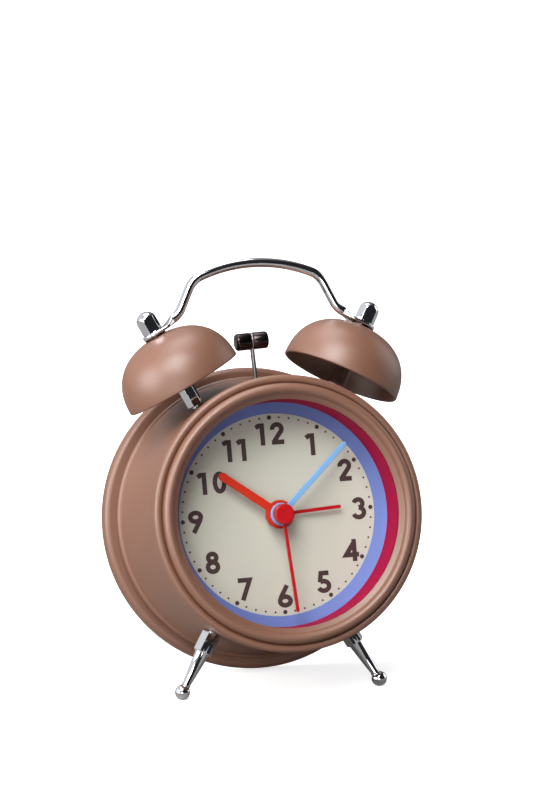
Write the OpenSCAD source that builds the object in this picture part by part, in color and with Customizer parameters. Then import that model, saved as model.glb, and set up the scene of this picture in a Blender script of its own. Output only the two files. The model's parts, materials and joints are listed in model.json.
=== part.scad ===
// Twin-bell table alarm clock. A quartz movement sits in a round drum case that leans back on two
// legs and its rear rim. The clock frame has X to the right, Y into the case and Z up, and its origin
// is the centre of the dial's face. stand() leans that frame back and sets the object on Z = 0.
// Layout angles in a plane across the case run clockwise from 3 o'clock, as seen from the front.

/* [Dial and opening] */
// Radius of the printed dial card that shows
dial_r = 29.6; // [26:0.1:36]
// Thickness of the dial card
dial_t = 0.6; // [0.4:0.1:1]
// Width of the sloping ring round the dial
ring_w = 3.2; // [2:0.1:5]
// Height of the sloping ring's outer edge above the dial
ring_rise = 2.5; // [1:0.1:4]
// Thickness of the sloping ring and of the wall in front of it
ring_t = 0.8; // [0.6:0.1:1.2]
// Outward flare of the wall between the ring and the glass
wall_flare = 0.35; // [0.1:0.05:1]
// Distance from the dial's face to the back of the glass
dial_depth = 11.9; // [10.5:0.1:16]
// Thickness of the front glass
lens_t = 1; // [0.8:0.1:2]
// Width of glass held under the lip
lens_seat = 1; // [0.6:0.1:1.4]
// Thickness of the lip in front of the glass
lip_t = 0.4; // [0.3:0.1:0.8]

/* [Case] */
// Depth from the dial's face to the back of the rear rim
case_back = 34; // [31:0.5:44]
// Thickness of the drum's sheet steel
drum_wall = 0.8; // [0.6:0.1:1.2]
// How much wider the drum is at the back than at the front
drum_flare = 2.8; // [1:0.1:5]
// Radius of the bead rolled into the back of the drum
drum_bead_r = 1; // [0.6:0.1:1.4]
// Radius of the bezel's rounded crest
crest_r = 2; // [1.6:0.1:2.6]
// Radius of the small bead round the bezel
bead_r = 0.8; // [0.6:0.1:1.1]
// How far the rear rim stands out past the drum
rim_w = 4; // [3:0.1:6]
// Depth of the rear rim from front to back
rim_d = 5.4; // [4.5:0.1:7]
// Rounding of the rear rim's front corner
rim_front_r = 1.6; // [1:0.1:2]
// Rounding of the rear rim's back corner
rim_back_r = 0.8; // [0.5:0.1:1]
// Thickness of the rear cover
cover_t = 2; // [1.5:0.1:3]

/* [Legs] */
// Length of a leg from the drum to the centre of its ball
leg_l = 19; // [17:0.1:24]
// Angle of a leg from straight down
leg_splay = 31; // [25:0.5:38]
// Radius of the ball at a leg's foot
ball_r = 2.25; // [1.8:0.05:3]
// Width across the flats of a leg's hexagonal top
leg_flats = 5; // [4.5:0.1:6]
// Length of a leg's hexagonal top
leg_hex_l = 6.2; // [5:0.1:8]
// Radius of the leg's cone under the hexagon
leg_top_r = 2.1; // [1.8:0.05:2.3]
// Radius of the leg's neck above the ball
leg_neck_r = 1.25; // [1:0.05:1.6]

/* [Bells] */
// Radius of a bell's rim
bell_r = 17.9; // [15:0.1:19]
// Height of a bell
bell_h = 16.3; // [15:0.1:21]
// Thickness of a bell's wall
bell_wall = 0.9; // [0.8:0.1:1.4]
// Roundness of a bell's side, as the power of its curve
bell_power = 2.35; // [2:0.05:2.8]
// Outward lean of a bell's axis
bell_tilt = 27.8; // [24:0.2:32]
// Distance from the drum to the plane of a bell's rim, along the bell's axis
bell_clear = 7.3; // [6.5:0.1:10]
// Distance by which a bell's axis passes outside the case axis
bell_miss = 2.6; // [1.5:0.1:3.5]
// Depth of the plane that the bells, handle and legs share
bell_y = 7; // [6:0.1:9]
// Width across the flats of a bell's post
post_flats = 4.4; // [4:0.1:6]

/* [Handle and fasteners] */
// Height of the handle's top edge above the crowns of the bells
handle_rise = 21.9; // [18:0.1:30]
// Radius of the handle's rod
rod_r = 1.4; // [1.2:0.05:1.8]
// Steepest slope of the handle's sides
handle_slope = 64.5; // [54:0.5:70]
// Slope at the ends of the handle's arched top
arch_end = 22; // [18:1:30]
// Radius of the handle's upper corners
corner_r = 7.5; // [4:0.5:9]
// Radius of the handle's lower bends
bend_r = 6.5; // [4:0.5:8]
// Thickness of the handle's flattened tabs
tab_t = 1.2; // [1:0.1:1.4]
// Radius of a tab round its hole
tab_r = 3.6; // [3.2:0.1:4.5]
// Distance from a tab's hole to where the rod starts
tab_l = 7; // [6:0.1:9]
// Radius of the threaded studs
stud_r = 1.5; // [1.2:0.1:2]
// Width across the flats of the nuts
nut_flats = 5.5; // [5:0.1:7]
// Height of a plain nut
nut_h = 2.4; // [2:0.1:3]
// Height of a cap nut with its dome
cap_h = 6.5; // [5.5:0.1:8]
// Thickness of the washer under each tab
washer_t = 0.4; // [0.4:0.1:1]

/* [Bell hammer] */
// Radius of the hammer's head
head_r = 2.55; // [2:0.05:3]
// Length of the hammer's head
head_l = 9.8; // [7:0.1:10.4]
// Radius of the hammer's rod
arm_rod_r = 0.65; // [0.5:0.05:0.8]
// Depth of the plane that the hammer swings in
hammer_y = 9; // [8.8:0.1:9.4]
// Height of the hammer's pivot above the dial's centre
hammer_z = 14; // [13.8:0.1:15]
// Height of the hammer's head over the bells' rim tips
head_over = 1.15; // [1:0.05:2]
// How far the head passes over a rim tip when it strikes
strike_lap = 0.45; // [0.2:0.05:0.5]
// Angle that the hammer rests at, towards the left bell
hammer_rest = 3.2; // [0:0.1:5]

/* [Hands] */
// Length of the hour hand
hour_l = 21.6; // [18:0.1:24]
// Length of the minute hand
minute_l = 28.8; // [26:0.1:29.2]
// Length of the second hand
second_l = 28.8; // [26:0.1:29.2]
// Length of the alarm hand
alarm_l = 19.1; // [16:0.1:22]
// Hour hand's angle, clockwise from 12
hour_at = 305.5; // [0:0.5:360]
// Minute hand's angle, clockwise from 12
minute_at = 46.1; // [0:0.1:360]
// Second hand's angle, clockwise from 12
second_at = 174.6; // [0:0.1:360]
// Alarm hand's angle, clockwise from 12
alarm_at = 85.9; // [0:0.1:360]
// Thickness of a hand
hand_t = 0.4; // [0.3:0.05:0.5]
// Radius of the red cap on the second hand
cap_r = 3; // [2.4:0.1:3.4]

/* [Movement] */
// Radius of the second hand's arbor
arbor_r = 0.5; // [0.4:0.05:0.6]
// Wall of each pipe that carries a hand
pipe_t = 0.54; // [0.45:0.01:0.6]
// Radial clearance of a turning shaft
running = 0.06; // [0.03:0.01:0.08]
// Thickness of a wheel in the movement
wheel_t = 0.8; // [0.6:0.05:0.9]
// Distance from one layer of wheels to the next
layer = 1.2; // [1.15:0.05:1.3]
// Distance of each setting knob from the centre
knob_reach = 12; // [11.6:0.1:12.4]
// Radius of a setting knob
knob_r = 5; // [4:0.1:5.2]
// Height of a setting knob
knob_h = 4.5; // [3:0.1:7]
// Sideways travel of the alarm switch
switch_travel = 4; // [3:0.1:5]

/* [Battery] */
// Radius of the battery cell
cell_r = 7.1; // [6.5:0.05:7.25]
// Length of the battery cell with its nub
cell_l = 50.4; // [48:0.1:50.6]
// How far the battery door pulls off to the back
door_travel = 12; // [8:1:20]

/* [Hidden] */

fine = 96;              // facets of a large circle
small = 32;             // facets of a small circle
hex = 6;                // sides of a hexagon
cut = 1;                // how far a cut runs past a face
fit = 0.1;              // gap between parts that slide together by hand
arc_n = 10;             // steps along a rounded corner
paint = [0.66, 0.50, 0.43];
chrome = [0.86, 0.87, 0.89];
black = [0.12, 0.12, 0.13];
white = [0.93, 0.93, 0.90];
brass = [0.80, 0.66, 0.32];
steel = [0.62, 0.63, 0.65];

// Case radii, all worked out from the opening.
opening_r = dial_r + ring_w + wall_flare;
lens_r = opening_r + lens_seat;
crest_at = opening_r + 1.35 + crest_r;         // radius of the crest's centre line
bead_at = crest_at + crest_r + 0.9;            // radius of the bead's centre line
bezel_r = bead_at + bead_r;
drum_front_r = bezel_r - crest_r;
drum_rear_r = drum_front_r + drum_flare;
bead_peak_r = drum_rear_r + drum_bead_r;
rim_r = drum_rear_r + rim_w;

// Depths, negative in front of the dial.
lip_back = -dial_depth - lens_t;
lip_front = lip_back - lip_t;
crest_y = lip_front - 0.7;                     // depth of the crest's centre line
bead_y = lip_front + 0.5;                      // depth of the bead's centre line
bezel_back = bead_y + 2;
plug_d = 6;                                    // depth of the bezel's skirt in the drum
plug_t = 0.9;                                  // thickness of that skirt
rim_front = case_back - rim_d;
cover_back = case_back - 1.4;
cover_front = cover_back - cover_t;
drum_back = cover_front;
drum_bead_y = rim_front - 3.1;
flare_end = drum_bead_y - 1.5;
rim_lip = 1.2;                                 // width of the rim's seat for the cover
cover_r = bead_peak_r + 0.2;

// Stance: the two balls and the rear rim's lower edge touch the table.
leg_start = drum_radius(bell_y + 3) + 0.02;      // the leg's flat top clears the flared drum
leg_reach = leg_start + leg_l;                 // distance from the case axis to a ball's centre
ball_z = -leg_reach * cos(leg_splay);
rim_low_y = case_back - rim_back_r;
rim_low_r = rim_r - rim_back_r;
stance_a = rim_low_y - bell_y;
stance_b = -ball_z - rim_low_r;
lean = atan2(stance_b, stance_a) + asin((ball_r - rim_back_r) / norm([stance_a, stance_b]));
lift = rim_low_y * sin(lean) + rim_low_r * cos(lean) + rim_back_r;
front_reach = -crest_y * cos(lean) + crest_at * sin(lean) + crest_r;
rear_reach = rim_low_y * cos(lean) + rim_low_r * sin(lean) + rim_back_r;
shift = (front_reach - rear_reach) / 2;

// Bells and handle.
bell_dir = [sin(bell_tilt), cos(bell_tilt)];
axis_z = -bell_miss / sin(bell_tilt);          // height where a bell's axis crosses X = 0
drum_at_bell = drum_radius(bell_y);
drum_along = bell_miss / tan(bell_tilt) + sqrt(pow(drum_at_bell, 2) - pow(bell_miss, 2));
tip_room = 2.95;                               // least gap between a bell's rim and the upright head
tip_start = (head_l / 2 + tip_room + bell_r * cos(bell_tilt)) / sin(bell_tilt);
bell_start = max(drum_along + bell_clear, tip_start);    // rim plane's distance along the axis
bell_x = bell_start * bell_dir[0];
bell_z = axis_z + bell_start * bell_dir[1];
tip_x = bell_x - bell_r * bell_dir[1];
tip_z = bell_z + bell_r * bell_dir[0];
stud_gap = 0.1;                                // radial gap of a stud in its hole
post_lift = 0.35;                              // keeps the post's flat foot off the curved drum
post_base = drum_along + post_lift;
nut_drop = 0.65;                               // keeps a nut's flat face off the drum's inside
bell_inside = bell_start + bell_h - bell_wall;
post_corner = post_flats / 2 / cos(30) / (bell_r - bell_wall);
crown_sag = 0.03 + (bell_h - bell_wall) * (1 - pow(1 - pow(post_corner, bell_power), 1 / bell_power));
bell_outside = bell_start + bell_h;
tab_at = bell_outside + washer_t;

// Hammer.
head_z = tip_z + head_r + head_over;
hammer_arm_l = head_z - hammer_z;
strike_at = asin((tip_x - head_l / 2 + strike_lap) / hammer_arm_l);
rest_at = -min(hammer_rest, strike_at);
striker_z = hammer_z + 12;
pin_throw = 12 * sin(strike_at);               // throw of the striker's pin at the arm's window
pin_r = 0.8;
window_w = 2 * (pin_r + 2 * pin_throw + 0.25);
window_h = 2 * (pin_r + pin_throw + 0.3);
arm_t = 1;
slot_w = 2 * ((drum_at_bell - hammer_z) * tan(strike_at) + arm_rod_r + 0.5);
slot_d = 2 * (arm_rod_r + 0.5);

// Movement layers and wheel centres.
front_plate_y = dial_t;
front_plate_back = 2.2;
first_layer = front_plate_back + 0.4;
back_in = layer_y(8) + 0.2;
back_out = back_in + 1;
setting_m = 0.3;
pinion_n = 12;
minute_n = 36;
change_n = 10;
hour_n = 40;
minute_reach = (pinion_n + minute_n) / 2 * setting_m;
change_m = 2 * minute_reach / (change_n + hour_n);
time_n = 24;
time_gap = (minute_n + time_n) / 2 * setting_m;
knob_at = 20;                                  // setting knobs' angle below the horizontal
minute_turn = acos((pow(minute_reach, 2) + pow(knob_reach, 2) - pow(time_gap, 2))
    / (2 * minute_reach * knob_reach));
minute_dir = knob_at + minute_turn;
alarm_n = 40;
set_n = 20;
alarm_m = 2 * knob_reach / (alarm_n + set_n);
leaf_n = 8;
centre_n = 64;
third_n = 60;
train_m = 0.2;
third_reach = (leaf_n + centre_n) / 2 * train_m;
third_m = 2 * third_reach / (leaf_n + third_n);
third_dir = 200;
seconds_n = 40;
seconds_m = 0.3;
fifth_reach = (leaf_n + seconds_n) / 2 * seconds_m;
fifth_dir = -30;
fifth_n = 48;
rotor_m = 0.22;
rotor_reach = (leaf_n + fifth_n) / 2 * rotor_m;
rotor_dir = -20;
striker_n = 36;
motor_n = 9;
striker_m = 0.3;
motor_reach = (striker_n + motor_n) / 2 * striker_m;

third_c = polar(third_reach, third_dir);
fifth_c = polar(fifth_reach, fifth_dir);
rotor_c = fifth_c + polar(rotor_reach, rotor_dir);
minute_c = polar(minute_reach, minute_dir);
time_c = polar(knob_reach, knob_at);
alarm_c = polar(knob_reach, 180 - knob_at);
striker_c = [0, -striker_z];
motor_c = [motor_reach, -striker_z];

minute_in = arbor_r + running;
minute_out = minute_in + pipe_t;
hour_in = minute_out + running;
hour_out = hour_in + pipe_t;
alarm_in = hour_out + running;
alarm_out = alarm_in + pipe_t;
bush_in = alarm_out + running;
bush_out = bush_in + 0.9;
pivot_r = 0.35;

// Hands, from the dial forwards.
hand_gap = 1.6;
alarm_y = -hand_gap;
hour_y = -2 * hand_gap;
minute_y = -3 * hand_gap;
second_y = -4 * hand_gap;

// Movement case: left, right, top and bottom walls.
box_l = -17;
box_r = 23;
box_t = -10.9;
box_b = 13.6;
box_wall = 1;
screw_r = 0.6;
screw_spots = [[box_l + 2.5, box_t + 2.4], [box_l + 2.5, box_b - 2.4], [15.5, box_b - 2.4]];

// Striking works.
bracket_y = hammer_y + 2.6;
bracket_t = 1;
motor_r = 6;
motor_l = 13;
motor_y = bracket_y + bracket_t;

// Battery bay.
tray_t = 0.8;
cell_gap = 1.2;
tray_l = cell_l / 2 + cell_gap + tray_t;
tray_h = cell_r + fit + tray_t;
tray_z = -18.4;
tray_front = cover_front - 2 * tray_h - 0.2;
cell_y = tray_front + tray_h;
door_l = tray_l - tray_t - fit;
door_h = tray_h - tray_t - fit;
switch_z = 22;
switch_w = 5;
switch_h = 2.6;
cover_screw_r = drum_rear_r - 3;
cover_screw_at = [90, 205, 335];
cover_screw_l = 6;
screw_core = 1.1;
post_spots = [[box_l + 2.5, -4], [box_r - 2.5, -4]];

// Radius of the drum's outside at depth y: a flare that steepens towards the back.
function drum_radius(y) = drum_front_r
    + drum_flare * pow((min(y, flare_end) - bezel_back) / (flare_end - bezel_back), 2);
function polar(r, a) = [r * cos(a), r * sin(a)];
function layer_y(i) = first_layer + i * layer;
function arc(c, r, a0, a1, n = arc_n) = [for (i = [0:n]) c + polar(r, a0 + (a1 - a0) * i / n)];
// Outline of a spur gear: four corners a tooth, thinner than half the pitch so that a pair runs free.
function gear_points(n, m) = [for (i = [0:n - 1]) for (k = [0:3])
    let (p = 360 / n, r = n * m / 2 + (k == 0 || k == 3 ? -1.05 : 0.75) * m)
    polar(r, p * (i + [-0.3, -0.11, 0.11, 0.3][k]))];
// Angle of gear b that meshes with gear a, when b lies in direction dir from a.
function mesh(dir, turn_a, na, nb) = dir + 180 + ((dir - turn_a) * na / 360 - 0.5) * 360 / nb;

module stand() {
    translate([0, shift, lift])
        rotate([-lean, 0, 0])
            children();
}

// Turns Z to run into the case, from depth y.
module axial(y = 0) {
    stand()
        translate([0, y, 0])
            rotate([-90, 0, 0])
                children();
}

module ring(r_out, r_in, h, n = fine) {
    difference() {
        cylinder(r = r_out, h = h, $fn = n);
        translate([0, 0, -cut])
            cylinder(r = r_in, h = h + 2 * cut, $fn = n);
    }
}

module hexagon(flats, h) {
    cylinder(r = flats / 2 / cos(30), h = h, $fn = hex);
}

module gear(n, m, turn = 0, t = wheel_t, bore = 0) {
    linear_extrude(t)
        difference() {
            rotate(turn)
                polygon(gear_points(n, m));
            if (bore > 0)
                circle(r = bore, $fn = small);
        }
}

// Places children on a bell's axis, Z outwards from the case axis. side is -1 or 1.
module on_bell(side) {
    stand()
        translate([0, bell_y, axis_z])
            rotate([0, side * bell_tilt, 0])
                children();
}

// Places children on a leg's axis, Z outwards from the case axis.
module on_leg(side) {
    stand()
        translate([0, bell_y, 0])
            rotate([0, side * (180 - leg_splay), 0])
                children();
}

function drum_outer() = concat(
    [for (i = [0:2 * arc_n])
        let (y = bezel_back + (flare_end - bezel_back) * i / (2 * arc_n)) [drum_radius(y), y]],
    arc([drum_rear_r, drum_bead_y], drum_bead_r, -75, 75),
    [[drum_rear_r + 0.1, drum_bead_y + 1.5], [drum_rear_r + 0.1, drum_back]]);

function drum_inner() = concat(
    [[drum_rear_r + 0.1 - drum_wall, drum_back], [drum_rear_r - drum_wall, flare_end]],
    [for (i = [2 * arc_n - 1:-1:0])
        let (y = bezel_back + (flare_end - bezel_back) * i / (2 * arc_n))
        [drum_radius(y) - drum_wall, y]]);

// The drum's shell, with three lugs inside its back edge that the cover's screws bite into.
module drum() {
    color(paint)
        difference() {
            union() {
                axial()
                    rotate_extrude($fn = fine)
                        polygon(concat(drum_outer(), drum_inner()));
                for (a = cover_screw_at)
                    axial(drum_back - cover_screw_l)
                        translate(polar(cover_screw_r, a))
                            cylinder(r = 2.6, h = cover_screw_l, $fn = small);
            }
            for (a = cover_screw_at)
                axial(drum_back - cover_screw_l - cut)
                    translate(polar(cover_screw_r, a))
                        cylinder(r = screw_core + 0.03, h = cover_screw_l + 2 * cut, $fn = small);
            for (side = [-1, 1]) {
                on_bell(side)
                    cylinder(r = stud_r + stud_gap, h = bell_start, $fn = small);
                on_leg(side)
                    cylinder(r = stud_r + stud_gap, h = leg_reach, $fn = small);
            }
            stand()
                translate([0, hammer_y, hammer_z])
                    hammer_slot();
        }
}

// Slot in the top of the drum that the hammer's rod swings in.
module hammer_slot() {
    linear_extrude(drum_rear_r)
        union() {
            square([slot_w - slot_d, slot_d], center = true);
            for (side = [-1, 1])
                translate([side * (slot_w - slot_d) / 2, 0])
                    circle(r = slot_d / 2, $fn = small);
        }
}

module front_bezel() {
    color(paint)
        axial()
            rotate_extrude($fn = fine)
                polygon(concat(
                    [[opening_r, lip_back], [opening_r, lip_front]],
                    [[crest_at - crest_r * 0.9, crest_y - crest_r * 0.36]],
                    arc([crest_at, crest_y], crest_r, 215, 340, 2 * arc_n),
                    arc([bead_at, bead_y], bead_r, 225, 360),
                    [[bezel_r, bezel_back],
                     [drum_front_r - drum_wall - running, bezel_back],
                     [drum_front_r - drum_wall - running, bezel_back + plug_d],
                     [drum_front_r - drum_wall - running - plug_t, bezel_back + plug_d],
                     [drum_front_r - drum_wall - running - plug_t, lip_back],
                     [lens_r + fit + 0.8, lip_back],
                     [lens_r + fit + 0.8, lip_back + lens_t + 0.4],
                     [lens_r + fit, lip_back + lens_t + 0.4],
                     [lens_r + fit, lip_back]]));
}

module rear_ring() {
    sleeve_r = drum_rear_r + 0.1 + running;
    color(paint)
        axial()
            rotate_extrude($fn = fine)
                polygon(concat(
                    [[sleeve_r, rim_front]],
                    arc([rim_r - rim_front_r, rim_front + rim_front_r], rim_front_r, -90, 0),
                    arc([rim_low_r, rim_low_y], rim_back_r, 0, 90),
                    [[cover_r + fit, case_back],
                     [cover_r + fit, cover_front],
                     [sleeve_r, cover_front]]));
}

module lens() {
    color([0.85, 0.9, 0.92, 0.25])
        axial(lip_back)
            cylinder(r = lens_r, h = lens_t, $fn = fine);
}

module dial() {
    color([0.88, 0.85, 0.76])
        axial()
            ring(dial_r + 1, bush_out + fit, dial_t);
}

module reflector_ring() {
    color([0.52, 0.56, 0.84])
        axial()
            rotate_extrude($fn = fine)
                polygon([
                    [dial_r, -0.02], [dial_r, -0.3],
                    [dial_r + ring_w, -ring_rise],
                    [dial_r + ring_w + ring_t, -ring_rise],
                    [dial_r + ring_w + ring_t, -ring_rise + ring_t],
                    [dial_r + ring_t, -0.02]]);
}

module dial_wall() {
    back_y = -ring_rise;
    front_y = -dial_depth;
    base_r = dial_r + ring_w;
    shell_r = drum_front_r - drum_wall - running - plug_t - fit;
    color([0.68, 0.10, 0.34])
        axial()
            rotate_extrude($fn = fine)
                polygon([
                    [base_r, back_y], [opening_r, front_y],
                    [opening_r + ring_t, front_y],
                    [base_r + ring_t + wall_flare, back_y + ring_t + 0.1],
                    [base_r + ring_t + wall_flare, dial_t],
                    [shell_r, dial_t], [shell_r, dial_t + ring_t],
                    [dial_r + 0.4, dial_t + ring_t], [dial_r + 0.4, dial_t],
                    [dial_r + 1 + fit, dial_t], [dial_r + 1 + fit, 0],
                    [base_r + ring_t + 0.05, 0], [base_r + ring_t + 0.05, back_y]]);
}

module cover_outline_cuts() {
    for (c = [time_c, alarm_c])
        translate(c)
            circle(r = 1 + running, $fn = small);
    translate([0, -tray_z])
        square([2 * door_l + 2 * fit, 2 * door_h + 2 * fit], center = true);
    translate([0, -switch_z])
        square([switch_travel + switch_w * 0.6 + 2 * fit, switch_h + 2 * fit], center = true);
    for (a = cover_screw_at)
        translate(polar(cover_screw_r, a))
            circle(r = screw_core + fit, $fn = small);
}

module rear_cover() {
    color(black)
        axial(cover_front)
            linear_extrude(cover_t)
                difference() {
                    circle(r = cover_r, $fn = fine);
                    cover_outline_cuts();
                }
}

module cover_screws() {
    color(steel)
        for (a = cover_screw_at)
            axial(cover_front - cover_screw_l)
                translate(polar(cover_screw_r, a)) {
                    cylinder(r = screw_core, h = cover_screw_l + cover_t, $fn = small);
                    translate([0, 0, cover_screw_l + cover_t])
                        difference() {
                            cylinder(r = 2.1, h = 1, $fn = small);
                            for (turn = [0, 90])
                                rotate(turn)
                                    translate([-1.3, -0.25, 0.4])
                                        cube([2.6, 0.5, cut]);
                        }
                }
}

module battery_tray() {
    color(black)
        axial(tray_front)
            translate([0, -tray_z, 0])
                difference() {
                    translate([-tray_l, -tray_h, 0])
                        cube([2 * tray_l, 2 * tray_h, cover_front - tray_front]);
                    translate([-tray_l + tray_t, -tray_h + tray_t, tray_t])
                        cube([2 * (tray_l - tray_t), 2 * (tray_h - tray_t), cover_front]);
                }
}

module battery_cell() {
    nub_l = 1.2;
    color([0.2, 0.35, 0.3])
        stand()
            translate([-cell_l / 2, cell_y, tray_z])
                rotate([0, 90, 0]) {
                    cylinder(r = cell_r, h = cell_l - nub_l, $fn = fine);
                    cylinder(r = 2.7, h = cell_l, $fn = small);
                }
}

// A bent leaf between the tray's end wall and the cell. side is -1 or 1.
module contact(side) {
    leaf = 0.3;
    color(chrome)
        stand()
            mirror([side < 0 ? 0 : 1, 0, 0])
                translate([-cell_l / 2 - cell_gap, cell_y, tray_z - 4])
                    linear_extrude(8)
                        polygon([
                            [0, -5], [leaf, -5], [leaf, -4], [cell_gap, -0.5], [cell_gap, 0.5],
                            [leaf, 4], [leaf, 5], [0, 5], [0, 3.8],
                            [cell_gap - leaf, 0], [0, -3.8]]);
}

module contact_plus() {
    contact(1);
}

module contact_minus() {
    contact(-1);
}

module battery_door() {
    color(black)
        axial(cover_front + fit)
            translate([0, -tray_z, 0]) {
                translate([-door_l, -door_h, 0])
                    cube([2 * door_l, 2 * door_h, cover_t - fit]);
                for (i = [-2:2])
                    translate([-5, i * 1.6 - 0.3, cover_t - fit])
                        cube([10, 0.6, 0.5]);
            }
}

module leg(side) {
    cone_start = leg_start + leg_hex_l;
    color(chrome)
        on_leg(side) {
            translate([0, 0, leg_start])
                hexagon(leg_flats, leg_hex_l);
            translate([0, 0, cone_start])
                cylinder(r1 = leg_top_r, r2 = leg_neck_r, h = leg_reach - cone_start, $fn = small);
            translate([0, 0, leg_reach])
                sphere(r = ball_r, $fn = small);
            translate([0, 0, leg_nut_top() - nut_h - 0.6])
                cylinder(r = stud_r, h = leg_start - leg_nut_top() + nut_h + 1.6, $fn = small);
        }
}

function leg_nut_top() = drum_radius(bell_y - 3.2) - drum_wall - 0.2;

module leg_left() {
    leg(-1);
}

module leg_right() {
    leg(1);
}

module leg_nuts() {
    color(steel)
        for (side = [-1, 1])
            on_leg(side)
                translate([0, 0, leg_nut_top() - nut_h])
                    plain_nut();
}

module plain_nut() {
    difference() {
        hexagon(nut_flats, nut_h);
        translate([0, 0, -cut])
            cylinder(r = stud_r + 0.03, h = nut_h + 2 * cut, $fn = small);
    }
}

// Half outline of a bell: distance out at each height, from rim to crown.
function bell_curve(r, h) = [for (i = [0:28])
    let (a = 90 * i / 28)
    [r * pow(cos(a), 2 / bell_power), h * pow(sin(a), 2 / bell_power)]];

module bell(side) {
    outer = bell_curve(bell_r, bell_h);
    inner = bell_curve(bell_r - bell_wall, bell_h - bell_wall);
    color(paint)
        on_bell(side)
            translate([0, 0, bell_start])
                difference() {
                    rotate_extrude($fn = fine)
                        polygon(concat(outer, [for (i = [len(inner) - 1:-1:0]) inner[i]]));
                    cylinder(r = stud_r + stud_gap, h = bell_h + cut, $fn = small);
                }
}

module bell_left() {
    bell(-1);
}

module bell_right() {
    bell(1);
}

module post(side) {
    color(chrome)
        on_bell(side) {
            translate([0, 0, post_base])
                hexagon(post_flats, bell_inside - crown_sag - post_base);
            translate([0, 0, post_base - post_lift - drum_wall - nut_drop - nut_h - 0.6])
                cylinder(r = stud_r, h = tab_at + tab_t + cap_h / 2 - post_base + post_lift
                    + drum_wall + nut_drop + nut_h + 0.6, $fn = small);
        }
}

module post_left() {
    post(-1);
}

module post_right() {
    post(1);
}

module post_nuts() {
    color(steel)
        for (side = [-1, 1])
            on_bell(side)
                translate([0, 0, post_base - post_lift - drum_wall - nut_drop - nut_h])
                    plain_nut();
}

module bell_washers() {
    color(black)
        for (side = [-1, 1])
            on_bell(side)
                translate([0, 0, bell_outside])
                    ring(tab_r - 0.2, stud_r + stud_gap, washer_t, small);
}

module cap_nuts() {
    hex_h = cap_h * 0.52;
    dome_r = nut_flats / 2 * 0.96;
    color(chrome)
        for (side = [-1, 1])
            on_bell(side)
                translate([0, 0, tab_at + tab_t])
                    difference() {
                        union() {
                            hexagon(nut_flats, hex_h);
                            cylinder(r = dome_r, h = cap_h - dome_r, $fn = small);
                            translate([0, 0, cap_h - dome_r])
                                sphere(r = dome_r, $fn = small);
                        }
                        translate([0, 0, -cut])
                            cylinder(r = stud_r + 0.03, h = cut + cap_h / 2 + 0.2, $fn = small);
                    }
}

// Handle: an arched top, a corner, a straight side, a lower bend and a flat tab, mirrored. The arch's
// radius and the side's length are the two unknowns that bring the rod to the tab.
rod_rise = rod_r + 0.15;                       // height of the rod's centre above the tab's underside
tab_end = axis_at(tab_at + rod_rise) + tab_l * [-bell_dir[1], bell_dir[0]];
arch_top = axis_at(bell_outside)[1] + handle_rise - rod_r;
rise_x = tab_end[0] - corner_r * (sin(handle_slope) - sin(arch_end))
    - bend_r * (sin(handle_slope) - sin(bell_tilt));
rise_z = arch_top - tab_end[1] - corner_r * (cos(arch_end) - cos(handle_slope))
    - bend_r * (cos(bell_tilt) - cos(handle_slope));
handle_det = sin(arch_end) * sin(handle_slope) - cos(handle_slope) * (1 - cos(arch_end));
arch_r = (rise_x * sin(handle_slope) - rise_z * cos(handle_slope)) / handle_det;
side_l = (rise_z * sin(arch_end) - rise_x * (1 - cos(arch_end))) / handle_det;
corner_c = [(arch_r - corner_r) * sin(arch_end), arch_top - arch_r + (arch_r - corner_r) * cos(arch_end)];
side_start = corner_c + corner_r * [sin(handle_slope), cos(handle_slope)];
side_end = side_start + side_l * [cos(handle_slope), -sin(handle_slope)];
bend_c = side_end + bend_r * [sin(handle_slope), cos(handle_slope)];

// Point on the right bell's axis at distance s, as X and Z.
function axis_at(s) = [s * bell_dir[0], axis_z + s * bell_dir[1]];

// Centre line of the rod's right half from the top down: each entry is a point in X and Z and a slope.
rod_half = concat(
    [for (i = [0:8])
        let (a = 90 - arch_end * i / 8) [[0, arch_top - arch_r] + polar(arch_r, a), a - 90]],
    [for (i = [1:5])
        let (a = 90 - arch_end - (handle_slope - arch_end) * i / 5)
        [corner_c + polar(corner_r, a), a - 90]],
    [for (i = [0:6])
        let (a = 270 - handle_slope + (handle_slope - bell_tilt) * i / 6)
        [bend_c + polar(bend_r, a), a - 270]],
    [[tab_end + (tab_l - tab_r + 0.2) * [bell_dir[1], -bell_dir[0]], -bell_tilt]]);
rod_path = concat(
    [for (i = [len(rod_half) - 1:-1:1]) [[-rod_half[i][0][0], rod_half[i][0][1]], -rod_half[i][1]]],
    rod_half);
rod_sides = 16;

module handle() {
    color(chrome)
        stand()
            translate([0, bell_y, 0]) {
                rod();
                for (side = [-1, 1])
                    translate([0, 0, axis_z])
                        rotate([0, side * bell_tilt, 0])
                            translate([0, 0, tab_at])
                                mirror([side < 0 ? 1 : 0, 0, 0])
                                    tab();
            }
}

// A tube swept along the rod's path, one ring of points at each entry.
module rod() {
    n = rod_sides;
    last = len(rod_path) - 1;
    rings = [for (p = rod_path) for (j = [0:n - 1])
        let (b = 360 * j / n, up = rod_r * cos(b))
        [p[0][0] - up * sin(p[1]), rod_r * sin(b), p[0][1] + up * cos(p[1])]];
    sides = [for (k = [0:last - 1]) for (j = [0:n - 1])
        let (m = (j + 1) % n) [k * n + j, k * n + m, (k + 1) * n + m, (k + 1) * n + j]];
    polyhedron(rings, concat(sides, [[for (j = [n - 1:-1:0]) j], [for (j = [0:n - 1]) last * n + j]]));
}

module tab() {
    linear_extrude(tab_t)
        difference() {
            union() {
                circle(r = tab_r, $fn = small);
                polygon([[0, -tab_r], [0, tab_r], [-tab_l, rod_r * 0.8], [-tab_l, -rod_r * 0.8]]);
            }
            circle(r = stud_r + stud_gap, $fn = small);
        }
}

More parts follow.
